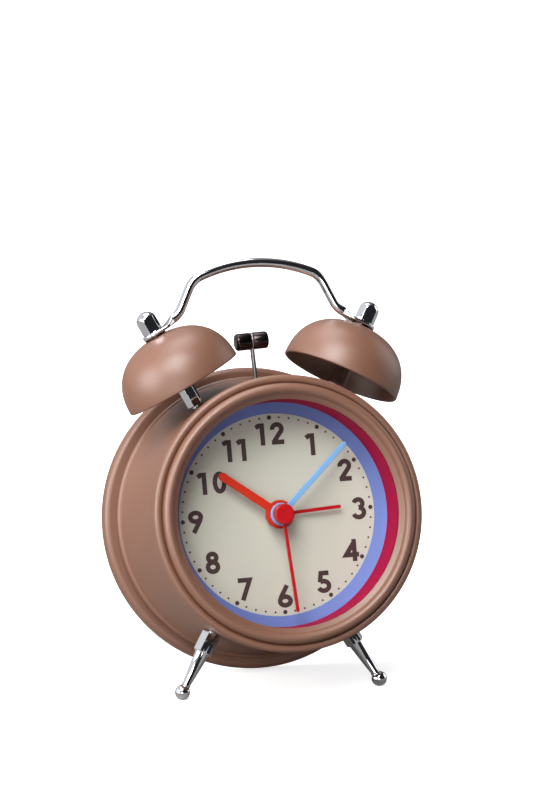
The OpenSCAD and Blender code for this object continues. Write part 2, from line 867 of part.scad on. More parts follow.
module motor_bracket() {
    color(black)
        axial(bracket_y)
            difference() {
                union() {
                    translate([-13, -striker_z - 7, 0])
                        cube([26, striker_z - hammer_z + 10, bracket_t]);
                    for (p = [[-11, -striker_z - 4], [-11, -hammer_z], [11, -hammer_z]])
                        translate(p)
                            cylinder(r = 1.8, h = cover_front - bracket_y, $fn = small);
                }
                translate([0, -hammer_z, -cut])
                    cylinder(r = 0.8, h = bracket_t + 2 * cut, $fn = small);
                translate([striker_c[0], striker_c[1], -cut])
                    cylinder(r = 0.6 + running, h = bracket_t + 2 * cut, $fn = small);
                translate([motor_c[0], motor_c[1], -cut])
                    cylinder(r = 1.6, h = bracket_t + 2 * cut, $fn = small);
            }
}

module bell_motor() {
    color(steel)
        axial(motor_y)
            translate(motor_c)
                difference() {
                    cylinder(r = motor_r, h = motor_l, $fn = fine);
                    translate([0, 0, -cut])
                        cylinder(r = 0.5 + running, h = cut + 4, $fn = small);
                }
}

module motor_pinion() {
    pinion_y = hammer_y + arm_t / 2 + 0.6;
    color(brass)
        axial(pinion_y)
            translate(motor_c) {
                gear(motor_n, striker_m, mesh(0, 0, striker_n, motor_n));
                cylinder(r = 0.5, h = motor_y + 3.5 - pinion_y, $fn = small);
            }
}

module striker_wheel() {
    wheel_y = hammer_y + arm_t / 2 + 0.6;
    color(white)
        axial(wheel_y)
            translate(striker_c) {
                gear(striker_n, striker_m);
                cylinder(r = 0.6, h = bracket_y + bracket_t - wheel_y, $fn = small);
                translate([0, pin_throw, -arm_t - 1])
                    cylinder(r = pin_r, h = arm_t + 1 + wheel_t / 2, $fn = small);
            }
}

module hammer_pin() {
    pin_front = hammer_y - arm_t / 2 - 1.4;
    color(steel)
        axial(pin_front)
            translate([0, -hammer_z, 0]) {
                cylinder(r = 0.8, h = bracket_y + bracket_t - pin_front, $fn = small);
                cylinder(r = 1.6, h = 0.8, $fn = small);
            }
}

// Places children at the hammer's pivot, turned to its rest angle, with Z up the arm.
module on_hammer() {
    stand()
        translate([0, hammer_y, hammer_z])
            rotate([0, rest_at, 0])
                children();
}

module hammer_arm() {
    window_z = striker_z - hammer_z;
    frame_w = window_w + 3;
    frame_h = window_h + 2.4;
    color(steel)
        on_hammer() {
            translate([0, arm_t / 2, 0])
                rotate([90, 0, 0])
                    linear_extrude(arm_t)
                        difference() {
                            union() {
                                circle(r = 2, $fn = small);
                                translate([-1.5, 0])
                                    square([3, window_z - window_h / 2]);
                                translate([-frame_w / 2, window_z - frame_h / 2])
                                    square([frame_w, frame_h]);
                                translate([-1.5, window_z + window_h / 2])
                                    square([3, 3]);
                            }
                            circle(r = 0.8 + running, $fn = small);
                            translate([-window_w / 2, window_z - window_h / 2])
                                square([window_w, window_h]);
                        }
            translate([0, 0, window_z + window_h / 2 + 0.6])
                cylinder(r = arm_rod_r, h = hammer_arm_l - window_z - window_h / 2 - 0.6, $fn = small);
        }
}

module hammer_head() {
    chamfer = 0.6;
    groove = 0.5;
    color([0.2, 0.18, 0.18])
        on_hammer()
            translate([0, 0, hammer_arm_l])
                rotate([0, 90, 0])
                    difference() {
                        rotate_extrude($fn = fine)
                            polygon([
                                [0, -head_l / 2], [head_r - chamfer, -head_l / 2],
                                [head_r, -head_l / 2 + chamfer], [head_r, -groove],
                                [head_r - 0.25, -groove / 2], [head_r - 0.25, groove / 2],
                                [head_r, groove], [head_r, head_l / 2 - chamfer],
                                [head_r - chamfer, head_l / 2], [0, head_l / 2]]);
                        translate([0, 0, 0])
                            rotate([0, 90, 0])
                                cylinder(r = arm_rod_r, h = head_r + cut, $fn = small);
                    }
}

module movement_front() {
    color(white)
        axial(front_plate_y)
            difference() {
                union() {
                    translate([box_l, box_t, 0])
                        cube([box_r - box_l, box_b - box_t, front_plate_back - front_plate_y]);
                    translate([0, 0, -dial_t])
                        cylinder(r = bush_out, h = dial_t + cut, $fn = small);
                    for (p = screw_spots)
                        translate(p)
                            cylinder(r = 1.2, h = layer_y(3) - front_plate_y, $fn = small);
                }
                translate([0, 0, -dial_t - cut])
                    cylinder(r = bush_in, h = front_plate_back + 3 * cut, $fn = small);
                for (p = screw_spots)
                    translate([p[0], p[1], 2])
                        cylinder(r = screw_r, h = layer_y(3), $fn = small);
                for (c = [time_c, alarm_c])
                    translate([c[0], c[1], 0.8])
                        cylinder(r = pivot_r + running, h = layer, $fn = small);
            }
}

module movement_plate() {
    color(white)
        axial(layer_y(3))
            linear_extrude(wheel_t)
                difference() {
                    translate([box_l + box_wall + fit, box_t + box_wall + fit])
                        square([box_r - box_l - 2 * (box_wall + fit), box_b - box_t - 2 * (box_wall + fit)]);
                    circle(r = minute_out + running, $fn = small);
                    for (c = [third_c, fifth_c, rotor_c])
                        translate(c)
                            circle(r = pivot_r + running, $fn = small);
                    for (c = [time_c, alarm_c])
                        translate(c)
                            circle(r = 1 + running, $fn = small);
                    translate(minute_c)
                        circle(r = 0.6, $fn = small);
                    for (p = screw_spots)
                        translate(p)
                            circle(r = screw_r + fit, $fn = small);
                }
}

// The movement's back shell, with two posts that the rear cover stands on.
module movement_back() {
    color(white)
        axial(front_plate_back)
            difference() {
                union() {
                    translate([box_l, box_t, 0])
                        cube([box_r - box_l, box_b - box_t, back_out - front_plate_back]);
                    for (p = post_spots)
                        translate(p)
                            cylinder(r = 1.8, h = cover_front - front_plate_back, $fn = small);
                }
                translate([box_l + box_wall, box_t + box_wall, -cut])
                    cube([box_r - box_l - 2 * box_wall, box_b - box_t - 2 * box_wall,
                        back_in - front_plate_back + cut]);
                for (c = [[0, 0], third_c, fifth_c, rotor_c])
                    translate([c[0], c[1], 0])
                        cylinder(r = pivot_r + running, h = back_out, $fn = small);
                for (c = [time_c, alarm_c])
                    translate([c[0], c[1], 0])
                        cylinder(r = 1 + running, h = back_out, $fn = small);
                for (p = screw_spots)
                    translate([p[0], p[1], 0])
                        cylinder(r = screw_r + fit, h = back_out, $fn = small);
            }
}

module movement_screws() {
    screw_end = layer_y(3) - 2;
    color(steel)
        for (p = screw_spots)
            axial(screw_end)
                translate(p) {
                    cylinder(r = screw_r, h = back_out - screw_end, $fn = small);
                    translate([0, 0, back_out - screw_end])
                        cylinder(r = 1.2, h = 0.7, $fn = small);
                }
}

board_l = 15.2;
board_y = first_layer + 0.9;

module circuit_board() {
    color([0.12, 0.35, 0.2])
        axial(board_y)
            translate([board_l, box_t + box_wall + 0.5, 0])
                cube([box_r - box_wall - 0.5 - board_l, box_b - box_t - 2 * box_wall - 5, wheel_t]);
}

module quartz_crystal() {
    can_r = 0.85;
    color(chrome)
        stand()
            translate([box_r - 3.5, board_y + wheel_t + can_r, -box_t - 9])
                cylinder(r = can_r, h = 6, $fn = small);
}

coil_x = 18.5;
coil_top = rotor_c[1] + 4.6;
coil_l = 9.5;
magnet_r = 3;
stator_y = layer_y(5) + 0.2;

// A C-shaped pole round the rotor, joined to the bar that carries the coil.
module stator() {
    bar = 1.2;
    color(steel)
        axial(stator_y) {
            linear_extrude(layer)
                difference() {
                    translate([rotor_c[0] - 4.4, rotor_c[1] - 2.2])
                        square([coil_x + bar - rotor_c[0] + 4.4, 6.6]);
                    translate(rotor_c)
                        circle(r = magnet_r + 0.4, $fn = small);
                }
            translate([coil_x - bar, rotor_c[1], 0])
                cube([2 * bar, coil_l + 6, layer]);
        }
}

module coil() {
    color([0.72, 0.36, 0.16])
        axial(stator_y)
            translate([coil_x, coil_top, layer / 2])
                rotate([-90, 0, 0])
                    difference() {
                        cylinder(r = 2.3, h = coil_l, $fn = fine);
                        translate([-1.25, -0.65, -cut])
                            cube([2.5, 1.3, coil_l + 2 * cut]);
                    }
}

function train_turn() = [
    0,
    mesh(third_dir, 0, leaf_n, third_n),
    mesh(fifth_dir, 0, seconds_n, leaf_n)];

module arbor(y0, y1, r = pivot_r) {
    axial(y0)
        cylinder(r = r, h = y1 - y0, $fn = small);
}

module rotor() {
    turn = mesh(rotor_dir, 0, fifth_n, leaf_n);
    color(black)
        axial()
            translate(rotor_c) {
                translate([0, 0, layer_y(3) + 0.1])
                    cylinder(r = pivot_r, h = back_out - layer_y(3) - 0.2, $fn = small);
                translate([0, 0, layer_y(4) + 0.2])
                    cylinder(r = magnet_r, h = layer_y(7) - 0.4 - layer_y(4), $fn = fine);
                translate([0, 0, layer_y(7)])
                    gear(leaf_n, rotor_m, turn);
            }
}

module fifth_wheel() {
    color(white)
        axial()
            translate(fifth_c) {
                translate([0, 0, layer_y(3) + 0.1])
                    cylinder(r = pivot_r, h = back_out - layer_y(3) - 0.2, $fn = small);
                translate([0, 0, layer_y(6)])
                    gear(leaf_n, seconds_m, train_turn()[2], layer_y(7) - layer_y(6));
                translate([0, 0, layer_y(7)])
                    gear(fifth_n, rotor_m);
            }
}

module seconds_wheel() {
    color(white)
        axial() {
            translate([0, 0, layer_y(6)])
                gear(seconds_n, seconds_m);
            translate([0, 0, layer_y(5)])
                gear(leaf_n, third_m, 0, layer_y(6) - layer_y(5));
            translate([0, 0, second_y - hand_t])
                cylinder(r = arbor_r, h = layer_y(6) - second_y + hand_t, $fn = small);
            translate([0, 0, layer_y(6)])
                cylinder(r = pivot_r, h = back_out - layer_y(6) - 0.1, $fn = small);
        }
}

module third_wheel() {
    color(white)
        axial()
            translate(third_c) {
                translate([0, 0, layer_y(3) + 0.1])
                    cylinder(r = pivot_r, h = back_out - layer_y(3) - 0.2, $fn = small);
                translate([0, 0, layer_y(4)])
                    gear(leaf_n, train_m, 0, layer_y(5) - layer_y(4));
                translate([0, 0, layer_y(5)])
                    gear(third_n, third_m, train_turn()[1]);
            }
}

// Turned by the third wheel's leaves, it drives the minute pipe through a slipping fit.
module centre_wheel() {
    color(brass)
        axial(layer_y(4))
            gear(centre_n, train_m, mesh(third_dir + 180, 0, leaf_n, centre_n), wheel_t,
                minute_out + running);
}

module minute_pipe() {
    color(brass)
        axial()
            difference() {
                union() {
                    translate([0, 0, minute_y - hand_t])
                        cylinder(r = minute_out, h = layer_y(4) + wheel_t - minute_y + hand_t, $fn = small);
                    translate([0, 0, layer_y(2)])
                        gear(pinion_n, setting_m);
                }
                translate([0, 0, minute_y - hand_t - cut])
                    cylinder(r = minute_in, h = layer_y(6), $fn = small);
                translate([0, 0, 0])
                    cylinder(r = minute_in, h = layer_y(6), $fn = small);
            }
}

module minute_wheel() {
    turn = mesh(minute_dir, 0, pinion_n, minute_n);
    color(white)
        axial()
            translate(minute_c) {
                translate([0, 0, layer_y(2)])
                    gear(minute_n, setting_m, turn);
                translate([0, 0, layer_y(1)])
                    gear(change_n, change_m, 0, layer_y(2) - layer_y(1));
                translate([0, 0, layer_y(1)])
                    cylinder(r = 0.5, h = layer_y(3) + wheel_t - layer_y(1), $fn = small);
            }
}

module pipe_wheel(n, m, turn, i, front, r_out, r_in) {
    axial()
        difference() {
            union() {
                translate([0, 0, front])
                    cylinder(r = r_out, h = layer_y(i) + wheel_t - front, $fn = small);
                translate([0, 0, layer_y(i)])
                    gear(n, m, turn);
            }
            translate([0, 0, front - cut])
                cylinder(r = r_in, h = layer_y(i) + wheel_t - front + 2 * cut, $fn = small);
        }
}

module hour_wheel() {
    color(white)
        pipe_wheel(hour_n, change_m, mesh(minute_dir + 180, 0, change_n, hour_n), 1,
            hour_y - hand_t, hour_out, hour_in);
}

module alarm_wheel() {
    color(white)
        pipe_wheel(alarm_n, alarm_m, 0, 0, alarm_y - hand_t, alarm_out, alarm_in);
}

// A flat hand with a round end and a round hub, pointing to angle at, clockwise from 12.
module hand(y, at, length, w, hub_r, bore_r) {
    axial(y - hand_t)
        linear_extrude(hand_t)
            difference() {
                union() {
                    rotate(at - 90) {
                        translate([0, -w / 2])
                            square([length - w / 2, w]);
                        translate([length - w / 2, 0])
                            circle(r = w / 2, $fn = small);
                    }
                    circle(r = hub_r, $fn = small);
                }
                circle(r = bore_r, $fn = small);
            }
}

module second_hand() {
    boss_h = 1.8;
    color([0.8, 0.1, 0.14]) {
        hand(second_y, second_at, second_l, 1, cap_r - 0.4, arbor_r);
        axial(second_y - hand_t - boss_h)
            rotate_extrude($fn = fine)
                polygon(concat([[0, 0]], arc([cap_r - 0.5, 0.5], 0.5, -90, 0),
                    [[cap_r, boss_h], [0, boss_h]]));
    }
}

module minute_hand() {
    color([0.48, 0.70, 0.93])
        hand(minute_y, minute_at, minute_l, 1.6, 3.3, minute_out);
}

module hour_hand() {
    color([0.85, 0.26, 0.13])
        hand(hour_y, hour_at, hour_l, 2.4, 4.2, hour_out);
}

module alarm_hand() {
    color([0.72, 0.10, 0.13])
        hand(alarm_y, alarm_at, alarm_l, 1, 4, alarm_out);
}

// A ribbed knob on a stem that carries a pinion of its own.
module knob(c, i, n, m, turn) {
    stem_r = 1;
    knob_y = cover_back + 0.4;
    color(black)
        axial()
            translate(c) {
                translate([0, 0, front_plate_back - 0.5])
                    cylinder(r = pivot_r, h = layer_y(i) - front_plate_back + 0.5, $fn = small);
                translate([0, 0, layer_y(i)])
                    gear(n, m, turn);
                translate([0, 0, layer_y(i)])
                    cylinder(r = stem_r, h = knob_y - layer_y(i) + cut, $fn = small);
                translate([0, 0, knob_y])
                    linear_extrude(knob_h)
                        difference() {
                            circle(r = knob_r, $fn = fine);
                            for (a = [0:20:340])
                                rotate(a)
                                    translate([knob_r + 0.1, 0])
                                        circle(r = 0.45, $fn = small);
                        }
            }
}

module time_knob() {
    wheel_turn = mesh(minute_dir, 0, pinion_n, minute_n);
    off = time_c - minute_c;
    knob(time_c, 2, time_n, setting_m, mesh(atan2(off[1], off[0]), wheel_turn, minute_n, time_n));
}

module alarm_knob() {
    knob(alarm_c, 0, set_n, alarm_m, mesh(180 - knob_at, 0, alarm_n, set_n));
}

module alarm_switch() {
    stem_w = switch_w * 0.6;
    off_x = -switch_travel / 2;
    color(white)
        axial(cover_front - 1.2)
            translate([off_x, -switch_z, 0]) {
                translate([-switch_w / 2, -switch_h / 2, 0])
                    cube([switch_w, switch_h, 1]);
                translate([-stem_w / 2, -switch_h / 2, 0])
                    cube([stem_w, switch_h, cover_t + 2.4]);
            }
}

drum();
front_bezel();
rear_ring();
lens();
dial();
reflector_ring();
dial_wall();
rear_cover();
cover_screws();
battery_tray();
battery_cell();
contact_plus();
contact_minus();
battery_door();
leg_left();
leg_right();
leg_nuts();
bell_left();
bell_right();
post_left();
post_right();
post_nuts();
bell_washers();
handle();
cap_nuts();
motor_bracket();
bell_motor();
hammer_pin();
hammer_arm();
hammer_head();
motor_pinion();
striker_wheel();
movement_front();
movement_plate();
movement_back();
movement_screws();
circuit_board();
quartz_crystal();
stator();
coil();
rotor();
fifth_wheel();
seconds_wheel();
second_hand();
third_wheel();
centre_wheel();
minute_pipe();
minute_hand();
minute_wheel();
hour_wheel();
hour_hand();
alarm_wheel();
alarm_hand();
time_knob();
alarm_knob();
alarm_switch();
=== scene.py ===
# Twin bell alarm clock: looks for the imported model, in metres, in the model's own frame.
import json
import math

import bmesh
import bpy
import numpy as np
from mathutils import Matrix, Vector


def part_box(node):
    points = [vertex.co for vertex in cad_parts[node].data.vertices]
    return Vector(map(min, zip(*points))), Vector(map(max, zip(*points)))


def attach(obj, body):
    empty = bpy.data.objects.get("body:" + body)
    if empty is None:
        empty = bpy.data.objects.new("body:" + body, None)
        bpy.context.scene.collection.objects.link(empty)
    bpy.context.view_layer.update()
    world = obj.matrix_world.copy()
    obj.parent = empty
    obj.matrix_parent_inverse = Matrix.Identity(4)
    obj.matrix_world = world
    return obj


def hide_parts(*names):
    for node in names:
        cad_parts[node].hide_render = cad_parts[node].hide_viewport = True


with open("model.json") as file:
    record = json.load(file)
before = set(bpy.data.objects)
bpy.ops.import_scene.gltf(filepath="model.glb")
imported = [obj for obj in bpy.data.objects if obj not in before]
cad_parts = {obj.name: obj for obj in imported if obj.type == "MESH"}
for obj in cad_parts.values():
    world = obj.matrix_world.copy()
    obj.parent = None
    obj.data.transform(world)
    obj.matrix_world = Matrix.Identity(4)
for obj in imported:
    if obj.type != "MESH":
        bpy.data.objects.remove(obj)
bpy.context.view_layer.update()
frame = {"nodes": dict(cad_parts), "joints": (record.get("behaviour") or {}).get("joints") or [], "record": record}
scene = bpy.context.scene
mm = 0.001

# The clock's own axes: x to the right, y into the case along the arbors, z up the dial.
# The arbors' direction gives the lean, and the dial's disc gives the place of the origin.
hourJoint = next(j for j in frame["joints"] if j["name"] == "hour_spin")
intoCase = np.array(hourJoint["axis"])
acrossCase = np.array([1.0, 0.0, 0.0])
upDial = np.cross(acrossCase, intoCase)
dialLow, dialHigh = (np.array(corner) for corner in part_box("dial"))
dialThick = 0.6
origin = (dialLow + dialHigh) / 2 - intoCase * dialThick / 2 * mm


def toRow(points):
    # clock axes in millimetres to the model's frame in metres: origin + x across + y into + z up
    points = np.asarray(points, float)
    axes = np.stack([acrossCase, intoCase, upDial])
    return points @ axes * mm + origin


# Camera and its place, seen from the dial's centre.
camera = {
    "right": (0.96319, -0.26155, -0.06239),
    "up": (0.04957, -0.05533, 0.99724),
    "back": (-0.26427, -0.96360, -0.04032),
    "distance": 1197.0,
    "across": 3.108,
    "rise": -33.492,
    "lens": 184.4,
    "sensor": 36.0,
    "clip": (0.05, 40),
}


def makeCamera(c):
    data = bpy.data.cameras.new("camera")
    data.sensor_fit = "VERTICAL"
    data.sensor_height = c["sensor"]
    data.sensor_width = c["sensor"]
    data.lens = c["lens"]
    data.clip_start, data.clip_end = c["clip"]
    camera = bpy.data.objects.new("camera", data)
    scene.collection.objects.link(camera)
    right, up, back = (np.array(c[k]) for k in ("right", "up", "back"))
    place = back * c["distance"] - right * c["across"] - up * c["rise"]
    axes = toRow([right, up, back]) - origin
    camera.rotation_mode = "QUATERNION"
    turn = np.array(axes / mm).T
    camera.rotation_quaternion = Matrix(turn.tolist()).to_quaternion()
    camera.location = toRow(place)
    return camera


scene.camera = makeCamera(camera)
print("camera placed")


class Wire:
    # one socket of a node tree; arithmetic on it adds Math nodes
    def __init__(self, tree, socket):
        self.tree, self.socket = tree, socket

    def join(self, operation, first, second, clamp=False):
        node = self.tree.nodes.new("ShaderNodeMath")
        node.operation = operation
        node.use_clamp = clamp
        for place, value in enumerate((first, second)):
            if isinstance(value, Wire):
                self.tree.links.new(value.socket, node.inputs[place])
            elif value is not None:
                node.inputs[place].default_value = value
        return Wire(self.tree, node.outputs[0])

    def __add__(self, other):
        return self.join("ADD", self, other)

    def __radd__(self, other):
        return self.join("ADD", other, self)

    def __sub__(self, other):
        return self.join("SUBTRACT", self, other)

    def __rsub__(self, other):
        return self.join("SUBTRACT", other, self)

    def __mul__(self, other):
        return self.join("MULTIPLY", self, other)

    def __rmul__(self, other):
        return self.join("MULTIPLY", other, self)

    def clamped(self):
        return self.join("ADD", self, 0.0, True)


class Finish:
    # a material, with one method for its nodes
    def __init__(self, name):
        self.material = bpy.data.materials.new(name)
        self.material.use_nodes = True
        self.tree = self.material.node_tree
        self.tree.nodes.clear()
        self.place = self.node("ShaderNodeTexCoord", {}, {}, "Object")

    def node(self, kind, settings, values, output=0):
        node = self.tree.nodes.new(kind)
        for key, value in settings.items():
            setattr(node, key, value)
        for key, value in values.items():
            if isinstance(value, Wire):
                self.tree.links.new(value.socket, node.inputs[key])
            else:
                node.inputs[key].default_value = value
        return Wire(self.tree, node.outputs[output])

    def noise(self, scale, detail=3, rough=0.5):
        values = {"Vector": self.place, "Scale": scale, "Detail": detail, "Roughness": rough}
        return self.node("ShaderNodeTexNoise", {"noise_dimensions": "3D"}, values, "Fac")

    def blend(self, factor, first, second):
        return self.node("ShaderNodeMix", {"data_type": "RGBA"},
                         {0: factor, 6: first, 7: second}, 2)

    def bump(self, height, strength):
        values = {"Height": height, "Strength": strength, "Distance": bumpDepth}
        return self.node("ShaderNodeBump", {}, values)

    def close(self, values):
        shader = self.node("ShaderNodeBsdfPrincipled", {}, values)
        out = self.tree.nodes.new("ShaderNodeOutputMaterial")
        self.tree.links.new(shader.socket, out.inputs["Surface"])
        return self.material


def linear(red, green, blue):
    # a screen colour, 0 to 255, as the linear colour that a shader takes
    parts = np.array([red, green, blue]) / 255
    low = parts / 12.92
    high = ((parts + 0.055) / 1.055) ** 2.4
    return (*np.where(parts <= 0.04045, low, high).tolist(), 1.0)


# Noises per metre, the change in roughness over a grain, and the bumps' strength and depth in metres.
paintLook = {"cloud": 45, "grain": 2600, "spread": 0.1, "gloss": 0.85, "bump": 0.25}
metalLook = {"smear": 90, "grain": 700, "bump": 0.03}
plasticLook = {"cloud": 60, "grain": 1500, "spread": 0.08}
bumpDepth = 0.00003


def paintFinish(name, base, shade, rough):
    f = Finish(name)
    look = paintLook
    cloud = f.noise(look["cloud"], 3)
    grain = f.noise(look["grain"], 2)
    colour = f.blend(cloud, base, shade)
    return f.close({"Base Color": colour, "Roughness": rough - look["spread"] / 2 + grain * look["spread"],
                    "Specular IOR Level": look["gloss"], "Normal": f.bump(grain, look["bump"])})


def metalFinish(name, base, rough, wear):
    f = Finish(name)
    look = metalLook
    smear = f.noise(look["smear"], 4, 0.6)
    return f.close({"Base Color": base, "Metallic": 1.0, "Roughness": rough + smear * wear,
                    "Normal": f.bump(f.noise(look["grain"], 2), look["bump"])})


def plasticFinish(name, base, shade, rough, texture=0.2, alpha=1.0, gloss=0.5):
    f = Finish(name)
    look = plasticLook
    grain = f.noise(look["grain"], 3)
    colour = f.blend(f.noise(look["cloud"], 2), base, shade)
    return f.close({"Base Color": colour, "Roughness": rough - look["spread"] / 2 + grain * look["spread"],
                    "Specular IOR Level": gloss, "Alpha": alpha, "Normal": f.bump(grain, texture)})


finishes = {
    "paint": paintFinish("satinCocoa", (0.18, 0.08, 0.048, 1), (0.167, 0.073, 0.043, 1), 0.44),
    "chrome": metalFinish("brightChrome", linear(228, 230, 234), 0.03, 0.04),
    "black_nickel": metalFinish("blackNickel", linear(70, 62, 62), 0.16, 0.1),
    "steel": metalFinish("plainSteel", linear(190, 190, 192), 0.24, 0.12),
    "brass": metalFinish("brassWheel", linear(214, 178, 104), 0.2, 0.12),
    "black_plastic": plasticFinish("blackPlastic", linear(46, 45, 46), linear(37, 36, 38), 0.5, 0.35),
    "white_plastic": plasticFinish("whitePlastic", linear(232, 231, 226), linear(224, 223, 218), 0.4),
    "dial_card": plasticFinish("dialCard", linear(200, 201, 188), linear(197, 198, 184), 0.62, 0.3,
                               gloss=0.25),
    "periwinkle": plasticFinish("periwinkleCard", linear(104, 122, 184), linear(96, 114, 178), 0.6, 0.3,
                                gloss=0.25),
    "magenta": plasticFinish("magentaCard", linear(160, 2, 58), linear(150, 1, 52), 0.68, 0.3, gloss=0.12),
    "glass": plasticFinish("clearLens", (0.01, 0.01, 0.01, 1), (0.02, 0.02, 0.02, 1), 0.06, 0.0, 0.035),
    "hand_hour": plasticFinish("hourEnamel", linear(206, 48, 22), linear(198, 43, 19), 0.35, 0.05),
    "hand_minute": plasticFinish("minuteEnamel", linear(128, 178, 228), linear(122, 172, 222), 0.35, 0.05),
    "hand_red": plasticFinish("redEnamel", linear(186, 10, 20), linear(177, 8, 17), 0.35, 0.05),
    "circuit": plasticFinish("circuitGreen", linear(30, 92, 58), linear(24, 80, 50), 0.45),
    "copper": metalFinish("copperWire", linear(206, 118, 76), 0.3, 0.12),
    "cell_wrap": plasticFinish("cellWrap", linear(52, 92, 78), linear(44, 82, 70), 0.35, 0.05),
}
inkFinish = plasticFinish("printedInk", linear(66, 44, 44), linear(60, 40, 40), 0.55, 0.1)
nodeSlot = {part["node"]: part["material_slot"] for part in frame["record"]["subparts"]}
for name, piece in frame["nodes"].items():
    piece.data.materials.clear()
    piece.data.materials.append(finishes[nodeSlot[name]])
print("finishes on", len(frame["nodes"]), "nodes")


# Points closer than the first, and edges shorter than the second, become one, in metres.
mergeGap = 2e-7
shortEdge = 1e-7


def gridFaces(rows, columns, loopRows=False):
    # one four-sided face between neighbouring rows and columns of points; the columns close on themselves
    row = np.arange(rows if loopRows else rows - 1)[:, None]
    column = np.arange(columns)[None, :]
    nextRow, nextColumn = (row + 1) % rows, (column + 1) % columns
    corners = (row * columns + column, nextRow * columns + column,
               nextRow * columns + nextColumn, row * columns + nextColumn)
    return np.stack(corners, -1).reshape(-1, 4)


def addPiece(name, points, faces, slot, body, stands=(), sharp=32, finish=None):
    # points are in the clock's axes; doubles at poles are merged and every face turned outwards
    mesh = bpy.data.meshes.new(name)
    mesh.from_pydata(toRow(points).tolist(), [], [list(face) for face in faces])
    work = bmesh.new()
    work.from_mesh(mesh)
    bmesh.ops.remove_doubles(work, verts=work.verts, dist=mergeGap)
    bmesh.ops.dissolve_degenerate(work, edges=work.edges, dist=shortEdge)
    bmesh.ops.recalc_face_normals(work, faces=work.faces)
    work.to_mesh(mesh)
    work.free()
    mesh.polygons.foreach_set("use_smooth", np.ones(len(mesh.polygons), bool))
    mesh.set_sharp_from_angle(angle=math.radians(sharp))
    mesh.materials.append(finish or finishes[slot])
    piece = bpy.data.objects.new(name, mesh)
    scene.collection.objects.link(piece)
    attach(piece, body)
    if stands:
        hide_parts(*stands)
    return piece


def joined(parts):
    # several (points, faces) pairs as one
    points, faces, count = [], [], 0
    for some, shape in parts:
        some = np.asarray(some, float).reshape(-1, 3)
        points.append(some)
        faces += [[index + count for index in face] for face in shape]
        count += len(some)
    return np.concatenate(points), faces


def placeOf(origin, turn=0.0, about="up"):
    # an origin and three axes; "up" turns z towards x by the angle, "case" points z into the case
    a = math.radians(turn)
    if about == "case":
        axes = [(math.cos(a), 0, math.sin(a)), (math.sin(a), 0, -math.cos(a)), (0, 1, 0)]
    else:
        axes = [(math.cos(a), 0, -math.sin(a)), (0, 1, 0), (math.sin(a), 0, math.cos(a))]
    return np.array(origin, float), np.array(axes, float)


def setIn(points, place):
    return np.asarray(points, float) @ place[1] + place[0]


def turned(profile, place, count=96, loop=False, reach=None):
    # a lathe: (radius, height) at angle t becomes (radius cos t, radius sin t, height),
    # with the radius never more than reach(t)
    t = np.linspace(0, 2 * np.pi, count, endpoint=False)
    radius, height = np.asarray(profile, float).T
    wide = np.repeat(radius[:, None], count, 1)
    if reach is not None:
        wide = np.minimum(wide, reach(t)[None, :])
    grid = np.stack([wide * np.cos(t), wide * np.sin(t), np.repeat(height[:, None], count, 1)], -1)
    return setIn(grid.reshape(-1, 3), place), gridFaces(len(profile), count, loop).tolist()


cornerKnock = 0.985  # how far out a hexagon's blunted corners reach


def cornerOf(across):
    # a hexagon's radius at its corners, from its width across the flats
    return across / 2 / math.cos(math.pi / 6)


def sixFlats(across):
    # distance to the side of a hexagon, one flat to the front, at each angle, with its corners knocked off
    def reach(t):
        sixth = np.pi / 3
        edge = across / 2 / np.cos(t % sixth - sixth / 2)
        return np.minimum(edge, cornerOf(across) * cornerKnock)
    return reach


edgeShare = 0.45  # the most of an edge that one softened corner takes


def bow(centre, radii, first, last, steps=12):
    # points on an ellipse from one angle to another
    t = np.radians(np.linspace(first, last, steps))
    return np.stack([centre[0] + radii[0] * np.cos(t), centre[1] + radii[1] * np.sin(t)], -1)


def softened(corners, radius, steps=5, loop=True):
    # each corner of a profile becomes a curve that starts and ends radius away: a Bezier of degree two
    points = np.asarray(corners, float)
    before, after = np.roll(points, 1, 0), np.roll(points, -1, 0)
    t = np.linspace(0, 1, steps)[None, :, None]

    def toward(other):
        gap = other - points
        length = np.linalg.norm(gap, axis=1, keepdims=True)
        return points + gap / length * np.minimum(radius, length * edgeShare)
    first, last = toward(before), toward(after)
    curve = (1 - t) ** 2 * first[:, None] + 2 * t * (1 - t) * points[:, None] + t ** 2 * last[:, None]
    if not loop:
        return np.concatenate([points[:1], curve[1:-1].reshape(-1, 2), points[-1:]])
    return curve.reshape(-1, 2)


# Bezel: lip round the glass, a slope with a fine step, the crest, a groove and a bead.
bezel = {
    "opening": 33.15, "lipBack": -12.9, "lipFront": -13.3,
    "slope": [(34.35, -14.1), (34.62, -14.3)],
    "crest": (36.2, -14.0), "crestRadii": (1.55, 2.0), "crestTurn": (203, 343, 28),
    "groove": [(37.82, -13.4)], "fold": 0.1,
    "bead": (39.0, -13.0), "beadRadius": 1.2, "beadTurn": (207, 360, 18),
    "back": -10.8, "chamfer": 0.15, "skirt": [(37.34, -10.8), (37.34, -4.8), (36.44, -4.8), (36.44, -12.9)],
    "round": 0.12, "roundSteps": 5, "count": 240,
}


def makeBezel(b):
    crest = bow(b["crest"], b["crestRadii"], *b["crestTurn"])
    bead = bow(b["bead"], (b["beadRadius"],) * 2, *b["beadTurn"])
    hard = [(b["opening"], b["lipBack"]), (b["opening"], b["lipFront"]), *b["slope"]]
    edge, cut = b["bead"][0] + b["beadRadius"], b["chamfer"]
    lip = softened([b["skirt"][-1], *hard, crest[0]], b["round"], b["roundSteps"], False)[1:-1]
    groove = softened([crest[-1], *b["groove"], bead[0]], b["fold"], b["roundSteps"], False)[1:-1]
    profile = np.concatenate([lip, crest, groove, bead, [(edge, b["back"] - cut), (edge - cut, b["back"])],
                              b["skirt"]])
    points, faces = turned(profile, placeOf((0, 0, 0), 0, "case"), b["count"], True)
    addPiece("bezel", points, faces, "paint", "case", ["front_bezel"], 40)


